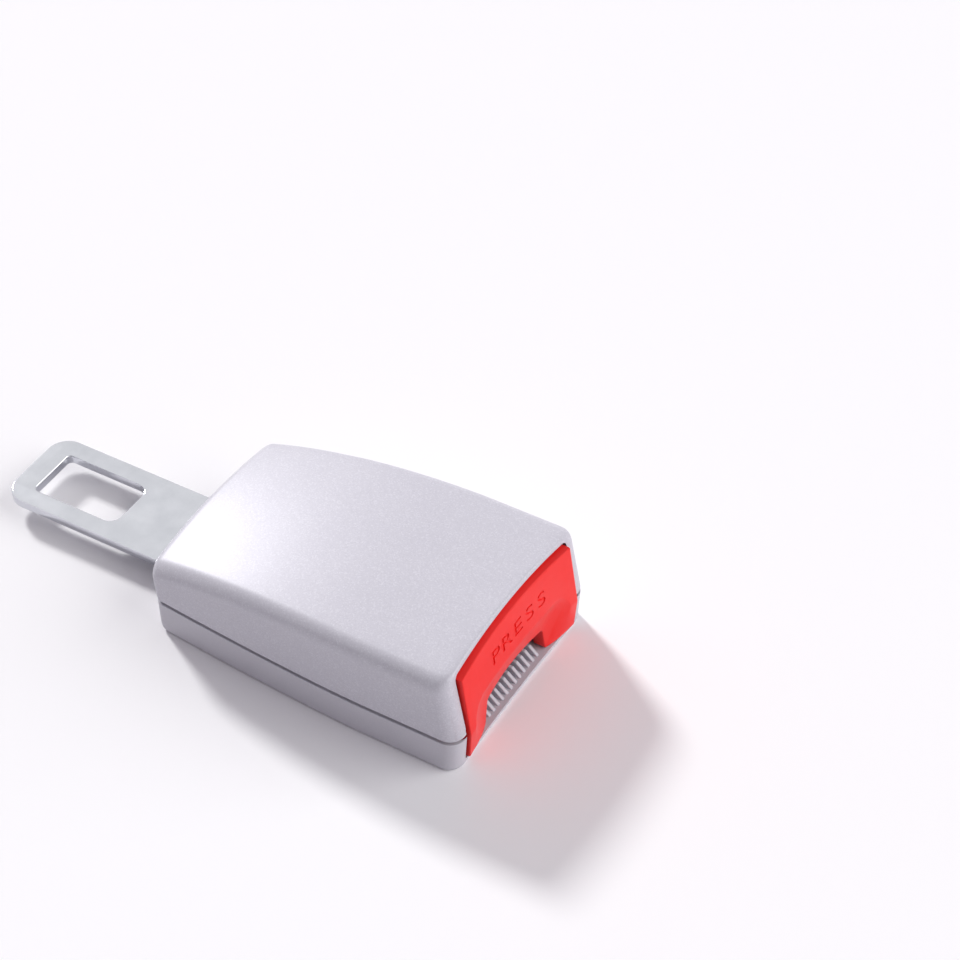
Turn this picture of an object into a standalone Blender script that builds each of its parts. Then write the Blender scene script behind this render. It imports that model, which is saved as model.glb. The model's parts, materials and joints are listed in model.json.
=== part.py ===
# Seat belt extender: a steel tongue on one end, a push-button buckle on the other.
# Lengths are in millimetres and become metres when a mesh is stored.
# X runs from the tongue to the button, Y across, Z up; the casing rests on its underside at Z = 0.
import math

import bmesh
import bpy
from mathutils import Matrix, Vector

MM = 0.001

# Casing
CASE_LENGTH = 77.3          # back face to the front rim's sides, at the parting line
FRONT_WIDTH = 52.3
BACK_WIDTH = 45.3
PARALLEL_LENGTH = 22.5      # stretch behind the front rim that keeps the front width
SIDE_CURVE = 1.45           # power of the sides' curve towards the back
CROWN_HEIGHT = 26.8         # top of the casing above the ground
BACK_DROP = 7.0             # how much lower the top is at the back
DROP_CURVE = 2.7            # power of the top's curve towards the back
TOP_BOW = 1.4               # rise of the top from its side rounding to its middle
SIDE_LEAN = 0.15            # how far each side leans in from the parting line to the rounding
TOP_RADIUS = 3.7
INNER_RADIUS = 1.5
SHOULDER_ANGLES = (5, 82)   # degrees of the arc between the side and the top
FRONT_CORNER_RADIUS = 3.3
BACK_RADIUS = 2.7
BACK_LEAN = 1.0             # the top of the back face stands this far behind its foot
BACK_LEAN_RUN = 20.0        # length of casing over which that lean fades out
BOTTOM_RADIUS = 1.0
TRAY_INNER_RADIUS = 0.6
RIM_LEAN = 2.8              # the top of the front rim stands this far behind its foot
RIM_HOLLOW = 0.5            # the middle of the front rim stands this far behind its sides
TRAY_LEAN = 0.8             # the tray's front edge stands this far behind the parting line
FRONT_LEAN_RUN = 29.0       # length of casing over which the front's leans fade out
WALL = 1.8
RIM_WALL = 0.9              # wall at the front rim
FLOOR = 1.0
PARTING_HEIGHT = 8.8
PARTING_GAP = 0.9
LAP_WALL = 0.75             # what is left of the upper wall outside the lap joint
LIP_WALL = 1.0
LIP_RISE = 1.2
LAP_SETBACK = 2.0           # the lap ends this far behind the front corner's rounding
BAND_CHAMFER = 1.2
TAB_RISE = 2.0              # tab over the tongue, above the cover's foot
OPENING_RISE = 4.0          # opening for the tongue and its tab, above the parting line

# Clearances
SEAT_GAP = 0.3              # between pieces that rest on each other
PIN_CLEARANCE = 0.25        # on the radius
BUTTON_CLEARANCE = 0.5      # between the button and the rim
SLIDE_CLEARANCE = 0.6

# Tongue plate
TONGUE_WIDTH = 21.5
TONGUE_THICKNESS = 2.4
TONGUE_REACH = 50.5         # tip to the casing's back face
TONGUE_ROOT = 22.3          # length inside the casing
TIP_RADIUS = 5.0
WINDOW_LENGTH = 22.2
WINDOW_WIDTH = 12.9
WINDOW_MARGIN = 5.5         # steel between the tip and the window
WINDOW_TIP_RADIUS = 1.2
WINDOW_ROOT_RADIUS = 2.8

# Mouth that takes the vehicle's belt tongue
PATH_HEIGHT = 4.3
PATH_HALF_WIDTH = 10.9
MOUTH_RISE = 0.7            # the button's opening stands this much above the path
COMB_RIBS = 12
COMB_PITCH = 1.75
COMB_RIB_WIDTH = 0.85
COMB_FOOT_SETBACK = 2.3     # foot of the comb behind the front rim
COMB_RUN = 2.0              # length of its ramp
COMB_DEPTH = 1.6            # level stretch behind the ramp

# Frame
FRAME_THICKNESS = 1.8
FLANGE_THICKNESS = 2.0
FLANGE_HEIGHT = 14.6        # top of the flanges above the ground
FLANGE_FOOT = 1.5           # low stretches of the flanges, above the frame's floor
FLANGE_AHEAD = 4.0          # tall part of the flanges in front of the tooth
BEND_CHAMFER = 0.8
PIVOT_STEEL = 3.6           # flange behind the pin
TENON_SHOULDER = 17.7
TENON_RISE = 2.4
TENON_LENGTH = 2.0
TENON_INSET = 1.6           # tenons from the bridge's ends
FRAME_BACK_GAP = 2.1        # frame's rear edge to the casing's back wall
FLANGE_SLOPE = 3.0          # length of the slope in front of the tall part
NECK_TAPER = 4.0            # length over which the frame narrows to its nose
BRIDGE_THICKNESS = 1.5
BRIDGE_BACK = 5.5           # bridge behind the latch's ears
BRIDGE_AHEAD = 6.5          # and in front of them
BRIDGE_OVERHANG = 1.4
STUD_SETBACK = 3.6          # locating studs behind the frame's nose
STUD_INSET = 3.4            # and inside the mouth's sides

# Latch
LATCH_THICKNESS = 2.0
LATCH_ROOM = 0.5            # above the belt tongue's path
LATCH_PIVOT_X = -10.0
LATCH_LIFT_DEG = 12.0
LATCH_SIDE_GAP = 0.5
TOOTH_BACK_X = 11.6
TOOTH_LENGTH = 2.5
TOOTH_HALF_WIDTH = 5.2
TOOTH_DEPTH = 1.1           # how far the tooth reaches into the frame's slot
TOOTH_SHOULDER = 2.4        # latch beside the tooth
PIN_RADIUS = 1.5
SLEEVE_WALL = 1.35
EAR_BACK_X = 2.0
EAR_LENGTH = 3.0
EAR_REACH = 3.4             # how far an ear stands out of the flange

# Ejector
EJECTOR_TRAVEL = 12.0
EJECTOR_HEIGHT = 3.2
EJECTOR_BEHIND_TOOTH = 0.8
FORK_LENGTH = 7.2
FORK_SIDE_WIDTH = 4.8
EJECTOR_BODY = 5.3
KEEL_HALF_WIDTH = 2.6
KEEL_PEG = 3.5              # peg in the spring's end
KEEL_PEG_ROOT = 1.5

# Button
BUTTON_TRAVEL = 5.0
BUTTON_PROUD = 0.65         # its ridge in front of the casing's rim
BUTTON_HOLLOW = 1.2         # the middle of its face stands this far behind its sides
RIDGE_HEIGHT = 8.6
FACE_TOP = 23.4
FACE_CROWN = 0.7            # rise of the face's top edge to its middle
FACE_LEAN = 1.7             # from the ridge back to the face's top edge
FACE_DEPTH = 5.3            # ridge to the cap's rear face
ARCH_TOP = 13.8             # top of the funnel's rounded edge on the face
LEG_FACE = 2.55             # flat stretch beside the funnel's rounded edge
MOUTH_DRAFT = 1.1           # the mouth's sides spread this much towards the floor
MOUTH_CORNER = 1.2
FUNNEL_DEPTH = 2.1          # ridge back to the mouth's edge in the middle
FUNNEL_SIDE_DEPTH = 1.7     # and at the mouth's corners
LEG_INSET = 0.75            # ridge back to the leg's foot
LEG_DRAFT = 0.3
ARM_GAP = 0.7               # between the arms and the frame's flanges
ARM_WIDTH = 3.0
ARM_HEIGHT = 2.9
ARM_BACK_X = -4.0
ARM_GUSSET = 3.0            # arm's top corner under the face's top
ARM_SLOPE = 4.5             # length of the slope behind the cap
BARB_REACH = 1.7
BARB_LENGTH = 3.0
ARM_PEG = 3.0               # peg in the spring's end
RAIL_HEIGHT = 3.3
RAIL_INSET = 0.4            # rails inside the arms' faces
STOP_LENGTH = 2.0           # stops that the barbs rest on

# Springs: wire and outer radius
LATCH_SPRING = (0.55, 2.5)
EJECTOR_SPRING = (0.55, 2.2)
BUTTON_SPRING = (0.5, 1.9)
BUTTON_SPRING_LENGTH = 12.0
SPRING_POST_LENGTH = 2.4
PRESSED_PITCH = 1.6         # pitch of a fully pressed spring, in wire diameters

# Fasteners
POST_RADIUS = 3.0
FRONT_POST_GAP = 0.4        # to the button's arms
REAR_POST_GAP = 1.4         # to the frame's flanges
STUD_RADIUS = 1.3
CLIP_RADIUS = 2.3
CLIP_THICKNESS = 0.8
BOSS_RADIUS = 2.7
BOSS_HEADROOM = 2.0         # bosses end this far under the shoulder's rounding
SCREW_RADIUS = 1.0
SCREW_HEAD_RADIUS = 2.1
SCREW_HEAD_HEIGHT = 1.3
SCREW_LENGTH = 12.0
SCREW_RECESS = 2.2
FRONT_POST_X = 14.0
REAR_POST_X = -28.0
RIVET_RADIUS = 2.4
RIVET_FLARE = 1.5
RIVET_HEAD_RADIUS = 4.0
RIVET_HEAD_HEIGHT = 1.3
RIVET_SPACING = 8.6

# Heights and places that follow from the sizes above
FRONT_X = CASE_LENGTH / 2
BACK_X = -CASE_LENGTH / 2
UPPER_FOOT = PARTING_HEIGHT + PARTING_GAP / 2
LOWER_TOP = PARTING_HEIGHT - PARTING_GAP / 2
FRAME_BOTTOM = FLOOR + SEAT_GAP
FRAME_TOP = FRAME_BOTTOM + FRAME_THICKNESS
TONGUE_BOTTOM = FRAME_TOP + SEAT_GAP
TONGUE_TOP = TONGUE_BOTTOM + TONGUE_THICKNESS
PATH_TOP = FRAME_TOP + PATH_HEIGHT
MOUTH_TOP = PATH_TOP + MOUTH_RISE
LATCH_BOTTOM = PATH_TOP + LATCH_ROOM
LATCH_TOP = LATCH_BOTTOM + LATCH_THICKNESS
SLEEVE_RADIUS = PIN_RADIUS + PIN_CLEARANCE + SLEEVE_WALL
PIVOT_Z = LATCH_BOTTOM + SLEEVE_RADIUS
FLANGE_INNER = PATH_HALF_WIDTH + 1.3
FLANGE_OUTER = FLANGE_INNER + FLANGE_THICKNESS
FRAME_BACK_X = BACK_X + WALL + FRAME_BACK_GAP
COMB_FOOT_X = FRONT_X - COMB_FOOT_SETBACK
COMB_BACK_X = COMB_FOOT_X - COMB_RUN - COMB_DEPTH
FRAME_NOSE_X = COMB_BACK_X - SEAT_GAP
TONGUE_TIP_X = BACK_X - TONGUE_REACH
TONGUE_ROOT_X = BACK_X + TONGUE_ROOT
RIDGE_X = FRONT_X + BUTTON_PROUD
CAP_BACK_X = RIDGE_X - FACE_DEPTH
CAP_HALF_WIDTH = FRONT_WIDTH / 2 - FRONT_CORNER_RADIUS - RIM_WALL - BUTTON_CLEARANCE
ARCH_OUTER = CAP_HALF_WIDTH - LEG_FACE
ARM_INNER = FLANGE_OUTER + ARM_GAP
ARM_OUTER = ARM_INNER + ARM_WIDTH
ARM_MID = (ARM_INNER + ARM_OUTER) / 2
ARM_BOTTOM = FLOOR + RAIL_HEIGHT + SEAT_GAP
ARM_TOP = ARM_BOTTOM + ARM_HEIGHT
EAR_LEVEL = LATCH_BOTTOM - SEAT_GAP    # of the button's arms where the latch's ears rest
EAR_FRONT_X = EAR_BACK_X + EAR_LENGTH
TOOTH_FRONT_X = TOOTH_BACK_X + TOOTH_LENGTH
TOOTH_BOTTOM = FRAME_TOP - TOOTH_DEPTH
EJECTOR_BOTTOM = FRAME_TOP + SEAT_GAP
EJECTOR_TOP = EJECTOR_BOTTOM + EJECTOR_HEIGHT
EJECTOR_CROTCH_X = TOOTH_BACK_X - EJECTOR_BEHIND_TOOTH
EJECTOR_BACK_X = EJECTOR_CROTCH_X - EJECTOR_BODY
EJECTOR_SPRING_Z = FRAME_BOTTOM + SEAT_GAP + EJECTOR_SPRING[1]
LATCH_SPRING_X = (EAR_BACK_X + EAR_FRONT_X) / 2
BUTTON_SPRING_Z = ARM_BOTTOM + ARM_HEIGHT / 2
SPRING_POST_X = ARM_BACK_X - BUTTON_SPRING_LENGTH - 2 * SEAT_GAP
BRIDGE_BOTTOM = TENON_SHOULDER + SEAT_GAP
BRIDGE_BACK_X = EAR_BACK_X - BRIDGE_BACK
BRIDGE_FRONT_X = EAR_FRONT_X + BRIDGE_AHEAD
NOTCH_BACK_X = EAR_BACK_X - 0.6
NOTCH_FRONT_X = EAR_FRONT_X + 1.2
STOP_X = ARM_BACK_X + BARB_LENGTH + SEAT_GAP

# Shapes of the outline


def half_width(x):
    """Half of the casing's width at the parting line."""
    parallel_from = FRONT_X - PARALLEL_LENGTH
    taper = (FRONT_WIDTH - BACK_WIDTH) / 2
    share = max(0.0, parallel_from - x) / (parallel_from - BACK_X)
    return FRONT_WIDTH / 2 - taper * share ** SIDE_CURVE


def crown(x):
    """Height of the top's middle line, level in front and falling to the back."""
    level_from = FRONT_X / 2
    share = max(0.0, level_from - x) / (level_from - BACK_X)
    return CROWN_HEIGHT - BACK_DROP * share ** DROP_CURVE


def corner_inset(distance, radius):
    """How far a rounded corner pulls the side in, at a distance from its end."""
    if distance >= radius:
        return 0.0
    return radius - math.sqrt(radius ** 2 - (radius - distance) ** 2)


def end_shift(x, y, z):
    """How far the leaning back face and the hollow, leaning front move a point along X."""
    above = max(0.0, z - PARTING_HEIGHT)
    below = max(0.0, PARTING_HEIGHT - z) / PARTING_HEIGHT
    across = min(abs(y) / (FRONT_WIDTH / 2 - FRONT_CORNER_RADIUS), 1.0)
    near_front = min(max(0.0, 1 - (FRONT_X - x) / FRONT_LEAN_RUN), 1.0)
    near_back = min(max(0.0, 1 - (x - BACK_X) / BACK_LEAN_RUN), 1.0)
    front = RIM_LEAN * above / (CROWN_HEIGHT - PARTING_HEIGHT) + TRAY_LEAN * below
    front += RIM_HOLLOW * (1 - across ** 2)
    back = BACK_LEAN * above / (CROWN_HEIGHT - BACK_DROP - PARTING_HEIGHT)
    return -near_front * front - near_back * back


def upper_section(half, top, radius, foot):
    """Right half of a section through the cover, from its foot to the middle of its top."""
    first, last = (math.radians(a) for a in SHOULDER_ANGLES)
    centre_y = half - SIDE_LEAN - radius * math.cos(first)
    edge_y = centre_y + radius * math.cos(last)
    centre_z = top - TOP_BOW - radius * math.sin(last)
    points = [(half, foot)]
    steps = 4
    for step in range(steps + 1):
        angle = first + (last - first) * step / steps
        points.append((centre_y + radius * math.cos(angle), centre_z + radius * math.sin(angle)))
    for share in (0.66, 0.33, 0.0):
        points.append((edge_y * share, top - TOP_BOW * share ** 2))
    return points


def lower_section(half, bottom, radius, top):
    """Right half of a section through the tray, from its top edge to the middle of its floor."""
    points = [(half, top)]
    for step in range(4):
        angle = math.radians(30 * step)
        points.append((half - radius + radius * math.cos(angle), bottom + radius - radius * math.sin(angle)))
    for share in (0.66, 0.33, 0.0):
        points.append(((half - radius) * share, bottom))
    return points


def whole_ring(points, x):
    """Mirror half a section to a ring of points at a station along X."""
    ring = points + [(-y, z) for y, z in reversed(points[:-1])]
    return [Vector((x + end_shift(x, y, z), y, z)) for y, z in ring]


def casing_stations():
    """Stations along X, close together where the back and the front corners are round."""
    quarter = [math.pi / 6 * step for step in range(4)]
    back = [BACK_X + BACK_RADIUS * (1 - math.cos(angle)) for angle in quarter]
    front = [FRONT_X - FRONT_CORNER_RADIUS * (1 - math.sin(angle)) for angle in quarter]
    steps = 6
    middle = [back[-1] + (front[0] - back[-1]) * step / steps for step in range(1, steps)]
    return back + middle + front


def casing_rings(section, depth):
    """Rings of a casing half from its back to its front, some depth inside its outer face."""
    rings = []
    for x in casing_stations():
        back = corner_inset(x - BACK_X, BACK_RADIUS) * (1 - depth / BACK_RADIUS)
        front = corner_inset(FRONT_X - x, FRONT_CORNER_RADIUS)
        wall = depth + (RIM_WALL - depth) * front / FRONT_CORNER_RADIUS if depth else 0.0
        place = x + depth * (FRONT_X - x) / CASE_LENGTH
        rings.append(section(half_width(x) - back - front - wall, back, wall, place))
    return rings


def upper_ring(half, pull, wall, x):
    radius = INNER_RADIUS if wall else TOP_RADIUS
    return whole_ring(upper_section(half, crown(x) - pull - wall, radius, UPPER_FOOT), x)


def lower_ring(half, pull, wall, x):
    bottom = pull + (FLOOR if wall else 0.0)
    radius = TRAY_INNER_RADIUS if wall else BOTTOM_RADIUS
    return whole_ring(lower_section(half, bottom, radius, LOWER_TOP), x)


def wall_band(outer, inner, front_x):
    """Plan of a strip that follows the sides and the back, between two depths in the wall."""
    steps = 8

    def side(depth):
        back = BACK_X + depth
        line = []
        for step in range(steps + 1):
            x = front_x + (back + BAND_CHAMFER - front_x) * step / steps
            line.append((x, half_width(x) - depth))
        line.append((back, half_width(back) - depth - BAND_CHAMFER))
        return line

    def around(depth):
        right = side(depth)
        return right + [(x, -y) for x, y in reversed(right)]

    return around(outer) + list(reversed(around(inner)))


# Mesh helpers


def box(bm, low, high):
    (x0, y0, z0), (x1, y1, z1) = low, high
    extrude(bm, [(x0, y0), (x1, y0), (x1, y1), (x0, y1)], "Z", z0, z1)


def on_axis(axis, a, b, height):
    """A point of an outline, drawn in the plane across an axis."""
    if axis == "X":
        return Vector((height, a, b))
    if axis == "Y":
        return Vector((a, height, b))
    return Vector((a, b, height))


def extrude(bm, outline, axis, low, high):
    """A closed prism from an outline, along X (Y, Z), Y (X, Z) or Z (X, Y)."""
    ends = [[bm.verts.new(on_axis(axis, a, b, height)) for a, b in outline] for height in (low, high)]
    bm.faces.new(ends[0])
    bm.faces.new(ends[1])
    count = len(outline)
    for index in range(count):
        other = (index + 1) % count
        bm.faces.new((ends[0][index], ends[0][other], ends[1][other], ends[1][index]))


def turn(bm, profile, axis, centre, segments=24, ring=False):
    """Turn a profile of (radius, height) about an axis through a centre."""
    rows = []
    for radius, height in profile:
        if radius == 0:
            rows.append([bm.verts.new(Vector(centre) + on_axis(axis, 0, 0, height))])
            continue
        row = []
        for step in range(segments):
            angle = math.tau * (step + 0.5) / segments
            offset = on_axis(axis, radius * math.cos(angle), radius * math.sin(angle), height)
            row.append(bm.verts.new(Vector(centre) + offset))
        rows.append(row)
    pairs = list(zip(rows, rows[1:]))
    if ring:
        pairs.append((rows[-1], rows[0]))
    for first, second in pairs:
        for step in range(segments):
            other = (step + 1) % segments
            corners = [first[step % len(first)], first[other % len(first)],
                       second[other % len(second)], second[step % len(second)]]
            bm.faces.new(list(dict.fromkeys(corners)))


def rod(bm, radius, axis, centre, low, high, segments=20):
    turn(bm, [(0, low), (radius, low), (radius, high), (0, high)], axis, centre, segments)


def coil(bm, spring, start, direction, length, stroke):
    """A spring's wire as one closed tube wound about a line, with turns that leave room for its stroke."""
    wire, outer = spring
    turns = int((length - stroke) / (wire * PRESSED_PITCH))
    radius = outer - wire / 2
    along = Vector(direction)
    across = Vector((0, 1, 0))
    up = along.cross(across)
    steps, sides = 10 * turns, 5
    rows = []
    for step in range(steps + 1):
        angle = math.tau * step / 10
        outward = across * math.cos(angle) + up * math.sin(angle)
        height = wire / 2 + (length - wire) * step / steps
        centre = Vector(start) + outward * radius + along * height
        row = []
        for side in range(sides):
            turned = math.tau * side / sides
            around = outward * math.cos(turned) + along * math.sin(turned)
            row.append(bm.verts.new(centre + around * wire / 2))
        rows.append(row)
    for first, second in zip(rows, rows[1:]):
        for side in range(sides):
            other = (side + 1) % sides
            bm.faces.new((first[side], first[other], second[other], second[side]))
    bm.faces.new(rows[0])
    bm.faces.new(rows[-1])


def shell(bm, outer, inner):
    """A wall between two stacks of open rings, closed at the back and open in front."""
    skins = [[[bm.verts.new(point) for point in ring] for ring in rings] for rings in (outer, inner)]
    for skin in skins:
        for first, second in zip(skin, skin[1:]):
            for index in range(len(first) - 1):
                bm.faces.new((first[index], first[index + 1], second[index + 1], second[index]))
        back = skin[0]
        middle = bm.verts.new(sum((vert.co for vert in back), Vector()) / len(back))
        for index in range(len(back)):
            bm.faces.new((middle, back[index], back[(index + 1) % len(back)]))
    out, inn = skins
    for end in (0, -1):
        for index in range(len(out) - 1):
            bm.faces.new((out[index][end], out[index + 1][end], inn[index + 1][end], inn[index][end]))
    for index in range(len(out[-1]) - 1):
        bm.faces.new((out[-1][index], out[-1][index + 1], inn[-1][index + 1], inn[-1][index]))
    bm.faces.new((out[0][0], out[0][-1], inn[0][-1], inn[0][0]))
    bmesh.ops.triangulate(bm, faces=bm.faces)


def rounded_outline(corners, segments=5):
    """An outline of (x, y, radius) corners with each radius drawn as an arc."""
    outline = []
    count = len(corners)
    for index, (x, y, radius) in enumerate(corners):
        here = Vector((x, y))
        if radius == 0:
            outline.append((x, y))
            continue
        before = (Vector(corners[index - 1][:2]) - here).normalized()
        after = (Vector(corners[(index + 1) % count][:2]) - here).normalized()
        half_angle = before.angle(after) / 2
        centre = here + (before + after).normalized() * radius / math.sin(half_angle)
        first = here + before * radius / math.tan(half_angle) - centre
        last = here + after * radius / math.tan(half_angle) - centre
        sweep = first.angle_signed(last)
        for step in range(segments + 1):
            turned = Matrix.Rotation(-sweep * step / segments, 2) @ first
            outline.append(tuple(centre + turned))
    return outline


# Scene helpers


def clear_scene():
    for item in list(bpy.data.objects):
        bpy.data.objects.remove(item, do_unlink=True)


def finish_material(name, colour, metallic, roughness):
    material = bpy.data.materials.new(name)
    material.use_nodes = True
    shader = material.node_tree.nodes["Principled BSDF"]
    shader.inputs["Base Color"].default_value = (*colour, 1.0)
    shader.inputs["Metallic"].default_value = metallic
    shader.inputs["Roughness"].default_value = roughness
    return material


def store(bm, name, material=None, pivot=(0.0, 0.0, 0.0), smooth=False):
    """Make an object of a mesh drawn in the casing's place, with its origin at the pivot."""
    bmesh.ops.recalc_face_normals(bm, faces=bm.faces)
    bmesh.ops.translate(bm, verts=bm.verts, vec=-Vector(pivot))
    bmesh.ops.scale(bm, verts=bm.verts, vec=(MM, MM, MM))
    mesh = bpy.data.meshes.new(name)
    bm.to_mesh(mesh)
    bm.free()
    if smooth:
        mesh.shade_smooth()
        mesh.set_sharp_from_angle(angle=math.radians(35))
    item = bpy.data.objects.new(name, mesh)
    item.location = Vector(pivot) * MM
    item.parent = bpy.data.objects["extender_origin"]
    bpy.context.scene.collection.objects.link(item)
    if material:
        mesh.materials.append(bpy.data.materials[material])
    return item


def shape_with(item, operation, name, draw, pivot=(0.0, 0.0, 0.0)):
    """Add to or cut from an object with a hidden helper shape."""
    bm = bmesh.new()
    draw(bm)
    helper = store(bm, name, pivot=pivot)
    helper.hide_render = True
    helper.display_type = "WIRE"
    modifier = item.modifiers.new(name, "BOOLEAN")
    modifier.operation = operation
    modifier.object = helper


# Pieces


def screw_places():
    """Post centres: the front pair beside the button's arms, the rear pair beside the frame."""
    front_y = ARM_OUTER + FRONT_POST_GAP + POST_RADIUS
    rear_y = FLANGE_OUTER + REAR_POST_GAP + POST_RADIUS
    return {
        "front_right": (FRONT_POST_X, -front_y), "front_left": (FRONT_POST_X, front_y),
        "rear_right": (REAR_POST_X, -rear_y), "rear_left": (REAR_POST_X, rear_y),
    }


def make_upper_casing():
    bm = bmesh.new()
    shell(bm, casing_rings(upper_ring, 0.0), casing_rings(upper_ring, WALL))
    casing = store(bm, "upper_casing", "painted_cover", smooth=True)
    lap_end = FRONT_X - FRONT_CORNER_RADIUS - LAP_SETBACK

    def draw_bosses(bm):
        for x, y in screw_places().values():
            side = math.copysign(1, y)
            reach = side * (half_width(x) - SIDE_LEAN - WALL / 2)
            plan = [(x + BOSS_RADIUS, reach)]
            for step in range(9):
                angle = math.pi * step / 8
                plan.append((x + BOSS_RADIUS * math.cos(angle), y - side * BOSS_RADIUS * math.sin(angle)))
            plan.append((x - BOSS_RADIUS, reach))
            extrude(bm, plan, "Z", LOWER_TOP + SEAT_GAP, crown(x) - TOP_BOW - TOP_RADIUS - BOSS_HEADROOM)

    def draw_lap(bm):
        lap_top = UPPER_FOOT + LIP_RISE
        extrude(bm, wall_band(LAP_WALL, WALL + 0.5, lap_end), "Z", LOWER_TOP, lap_top)

    def draw_tab(bm):
        half = TONGUE_WIDTH / 2
        low = (BACK_X + SEAT_GAP, -half, TONGUE_TOP + SEAT_GAP)
        box(bm, low, (BACK_X + WALL / 2, half, UPPER_FOOT + TAB_RISE))

    def draw_holes(bm):
        for x, y in screw_places().values():
            rod(bm, SCREW_RADIUS + PIN_CLEARANCE, "Z", (x, y, 0), LOWER_TOP, screw_tip() + 1.0, 12)

    shape_with(casing, "UNION", "screw_bosses", draw_bosses)
    shape_with(casing, "DIFFERENCE", "lap_cut", draw_lap)
    shape_with(casing, "UNION", "tongue_tab", draw_tab)
    shape_with(casing, "DIFFERENCE", "boss_holes", draw_holes)


def screw_tip():
    return SCREW_RECESS - SEAT_GAP + SCREW_LENGTH - SCREW_HEAD_HEIGHT


def make_lower_casing():
    bm = bmesh.new()
    shell(bm, casing_rings(lower_ring, 0.0), casing_rings(lower_ring, WALL))
    casing = store(bm, "lower_casing", "tray_plastic", smooth=True)
    foot = FLOOR / 2

    def draw_lip(bm):
        lip_end = FRONT_X - FRONT_CORNER_RADIUS - LAP_SETBACK - SEAT_GAP
        lip_top = UPPER_FOOT + LIP_RISE - SEAT_GAP
        extrude(bm, wall_band(LIP_WALL, WALL + 0.2, lip_end), "Z", PARTING_HEIGHT / 2, lip_top)

    def draw_posts(bm):
        for x, y in screw_places().values():
            rod(bm, POST_RADIUS, "Z", (x, y, 0), foot, LOWER_TOP, 20)

    def draw_rails(bm):
        for side in (-1, 1):
            inner, outer = sorted((side * (ARM_INNER + RAIL_INSET), side * (ARM_OUTER - RAIL_INSET)))
            rail_end = CAP_BACK_X - BUTTON_TRAVEL - SLIDE_CLEARANCE
            box(bm, (STOP_X, inner, foot), (rail_end, outer, FLOOR + RAIL_HEIGHT))
            wall = half_width(STOP_X) - (LIP_WALL + WALL) / 2
            inner, outer = sorted((side * (ARM_OUTER + SEAT_GAP), side * wall))
            box(bm, (STOP_X, inner, foot), (STOP_X + STOP_LENGTH, outer, LOWER_TOP))
            inner, outer = sorted((side * (FLANGE_OUTER + SEAT_GAP), side * (ARM_OUTER + ARM_GAP)))
            box(bm, (SPRING_POST_X - SPRING_POST_LENGTH, inner, foot), (SPRING_POST_X, outer, LOWER_TOP))

    def draw_studs(bm):
        for side in (-1, 1):
            x, y = stud_place(side)
            rod(bm, STUD_RADIUS, "Z", (x, y, 0), foot, FRAME_TOP - SEAT_GAP, 12)

    def draw_comb(bm):
        first = -(COMB_RIBS - 1) / 2 * COMB_PITCH
        profile = [(COMB_BACK_X, foot), (COMB_FOOT_X, foot), (COMB_FOOT_X, FLOOR + 0.1),
                   (COMB_FOOT_X - COMB_RUN, FRAME_TOP), (COMB_BACK_X, FRAME_TOP)]
        for index in range(COMB_RIBS):
            y = first + index * COMB_PITCH
            extrude(bm, profile, "Y", y - COMB_RIB_WIDTH / 2, y + COMB_RIB_WIDTH / 2)

    def draw_openings(bm):
        half = TONGUE_WIDTH / 2 + SEAT_GAP
        inside = BACK_X + WALL + FRAME_BACK_GAP - SLIDE_CLEARANCE
        box(bm, (BACK_X - 1.0, -half, FRAME_TOP), (inside, half, PARTING_HEIGHT + OPENING_RISE))
        for x, y in screw_places().values():
            head = SCREW_HEAD_RADIUS + SEAT_GAP
            shank = SCREW_RADIUS + PIN_CLEARANCE
            profile = [(0, -1.0), (head, -1.0), (head, SCREW_RECESS), (shank, SCREW_RECESS),
                       (shank, PARTING_HEIGHT + 1.0), (0, PARTING_HEIGHT + 1.0)]
            turn(bm, profile, "Z", (x, y, 0), 16)

    shape_with(casing, "UNION", "lap_lip", draw_lip)
    shape_with(casing, "UNION", "screw_posts", draw_posts)
    shape_with(casing, "UNION", "button_rails", draw_rails)
    shape_with(casing, "UNION", "frame_studs", draw_studs)
    shape_with(casing, "UNION", "mouth_comb", draw_comb)
    shape_with(casing, "DIFFERENCE", "tray_openings", draw_openings)


def stud_place(side):
    """Locating studs stand near the frame's nose, inside the mouth's sides."""
    return FRAME_NOSE_X - STUD_SETBACK, side * (PATH_HALF_WIDTH - STUD_INSET)


def make_tongue_plate():
    half = TONGUE_WIDTH / 2
    bm = bmesh.new()
    corners = [(TONGUE_ROOT_X, -half, 0), (TONGUE_ROOT_X, half, 0),
               (TONGUE_TIP_X, half, TIP_RADIUS), (TONGUE_TIP_X, -half, TIP_RADIUS)]
    extrude(bm, rounded_outline(corners), "Z", TONGUE_BOTTOM, TONGUE_TOP)
    plate = store(bm, "tongue_plate", "chromed_steel", smooth=True)

    def draw_window(bm):
        reach = WINDOW_WIDTH / 2
        near = TONGUE_TIP_X + WINDOW_MARGIN
        far = near + WINDOW_LENGTH
        window = [(near, -reach, WINDOW_TIP_RADIUS), (far, -reach, WINDOW_ROOT_RADIUS),
                  (far, reach, WINDOW_ROOT_RADIUS), (near, reach, WINDOW_TIP_RADIUS)]
        extrude(bm, rounded_outline(window, 4), "Z", TONGUE_BOTTOM - 1.0, TONGUE_TOP + 1.0)
        for x in rivet_places():
            rod(bm, RIVET_RADIUS + PIN_CLEARANCE, "Z", (x, 0, 0), TONGUE_BOTTOM - 1.0, TONGUE_TOP + 1.0, 16)

    shape_with(plate, "DIFFERENCE", "tongue_window", draw_window)


def rivet_places():
    front = TONGUE_ROOT_X - RIVET_HEAD_RADIUS - 0.5
    return front, front - RIVET_SPACING


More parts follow.
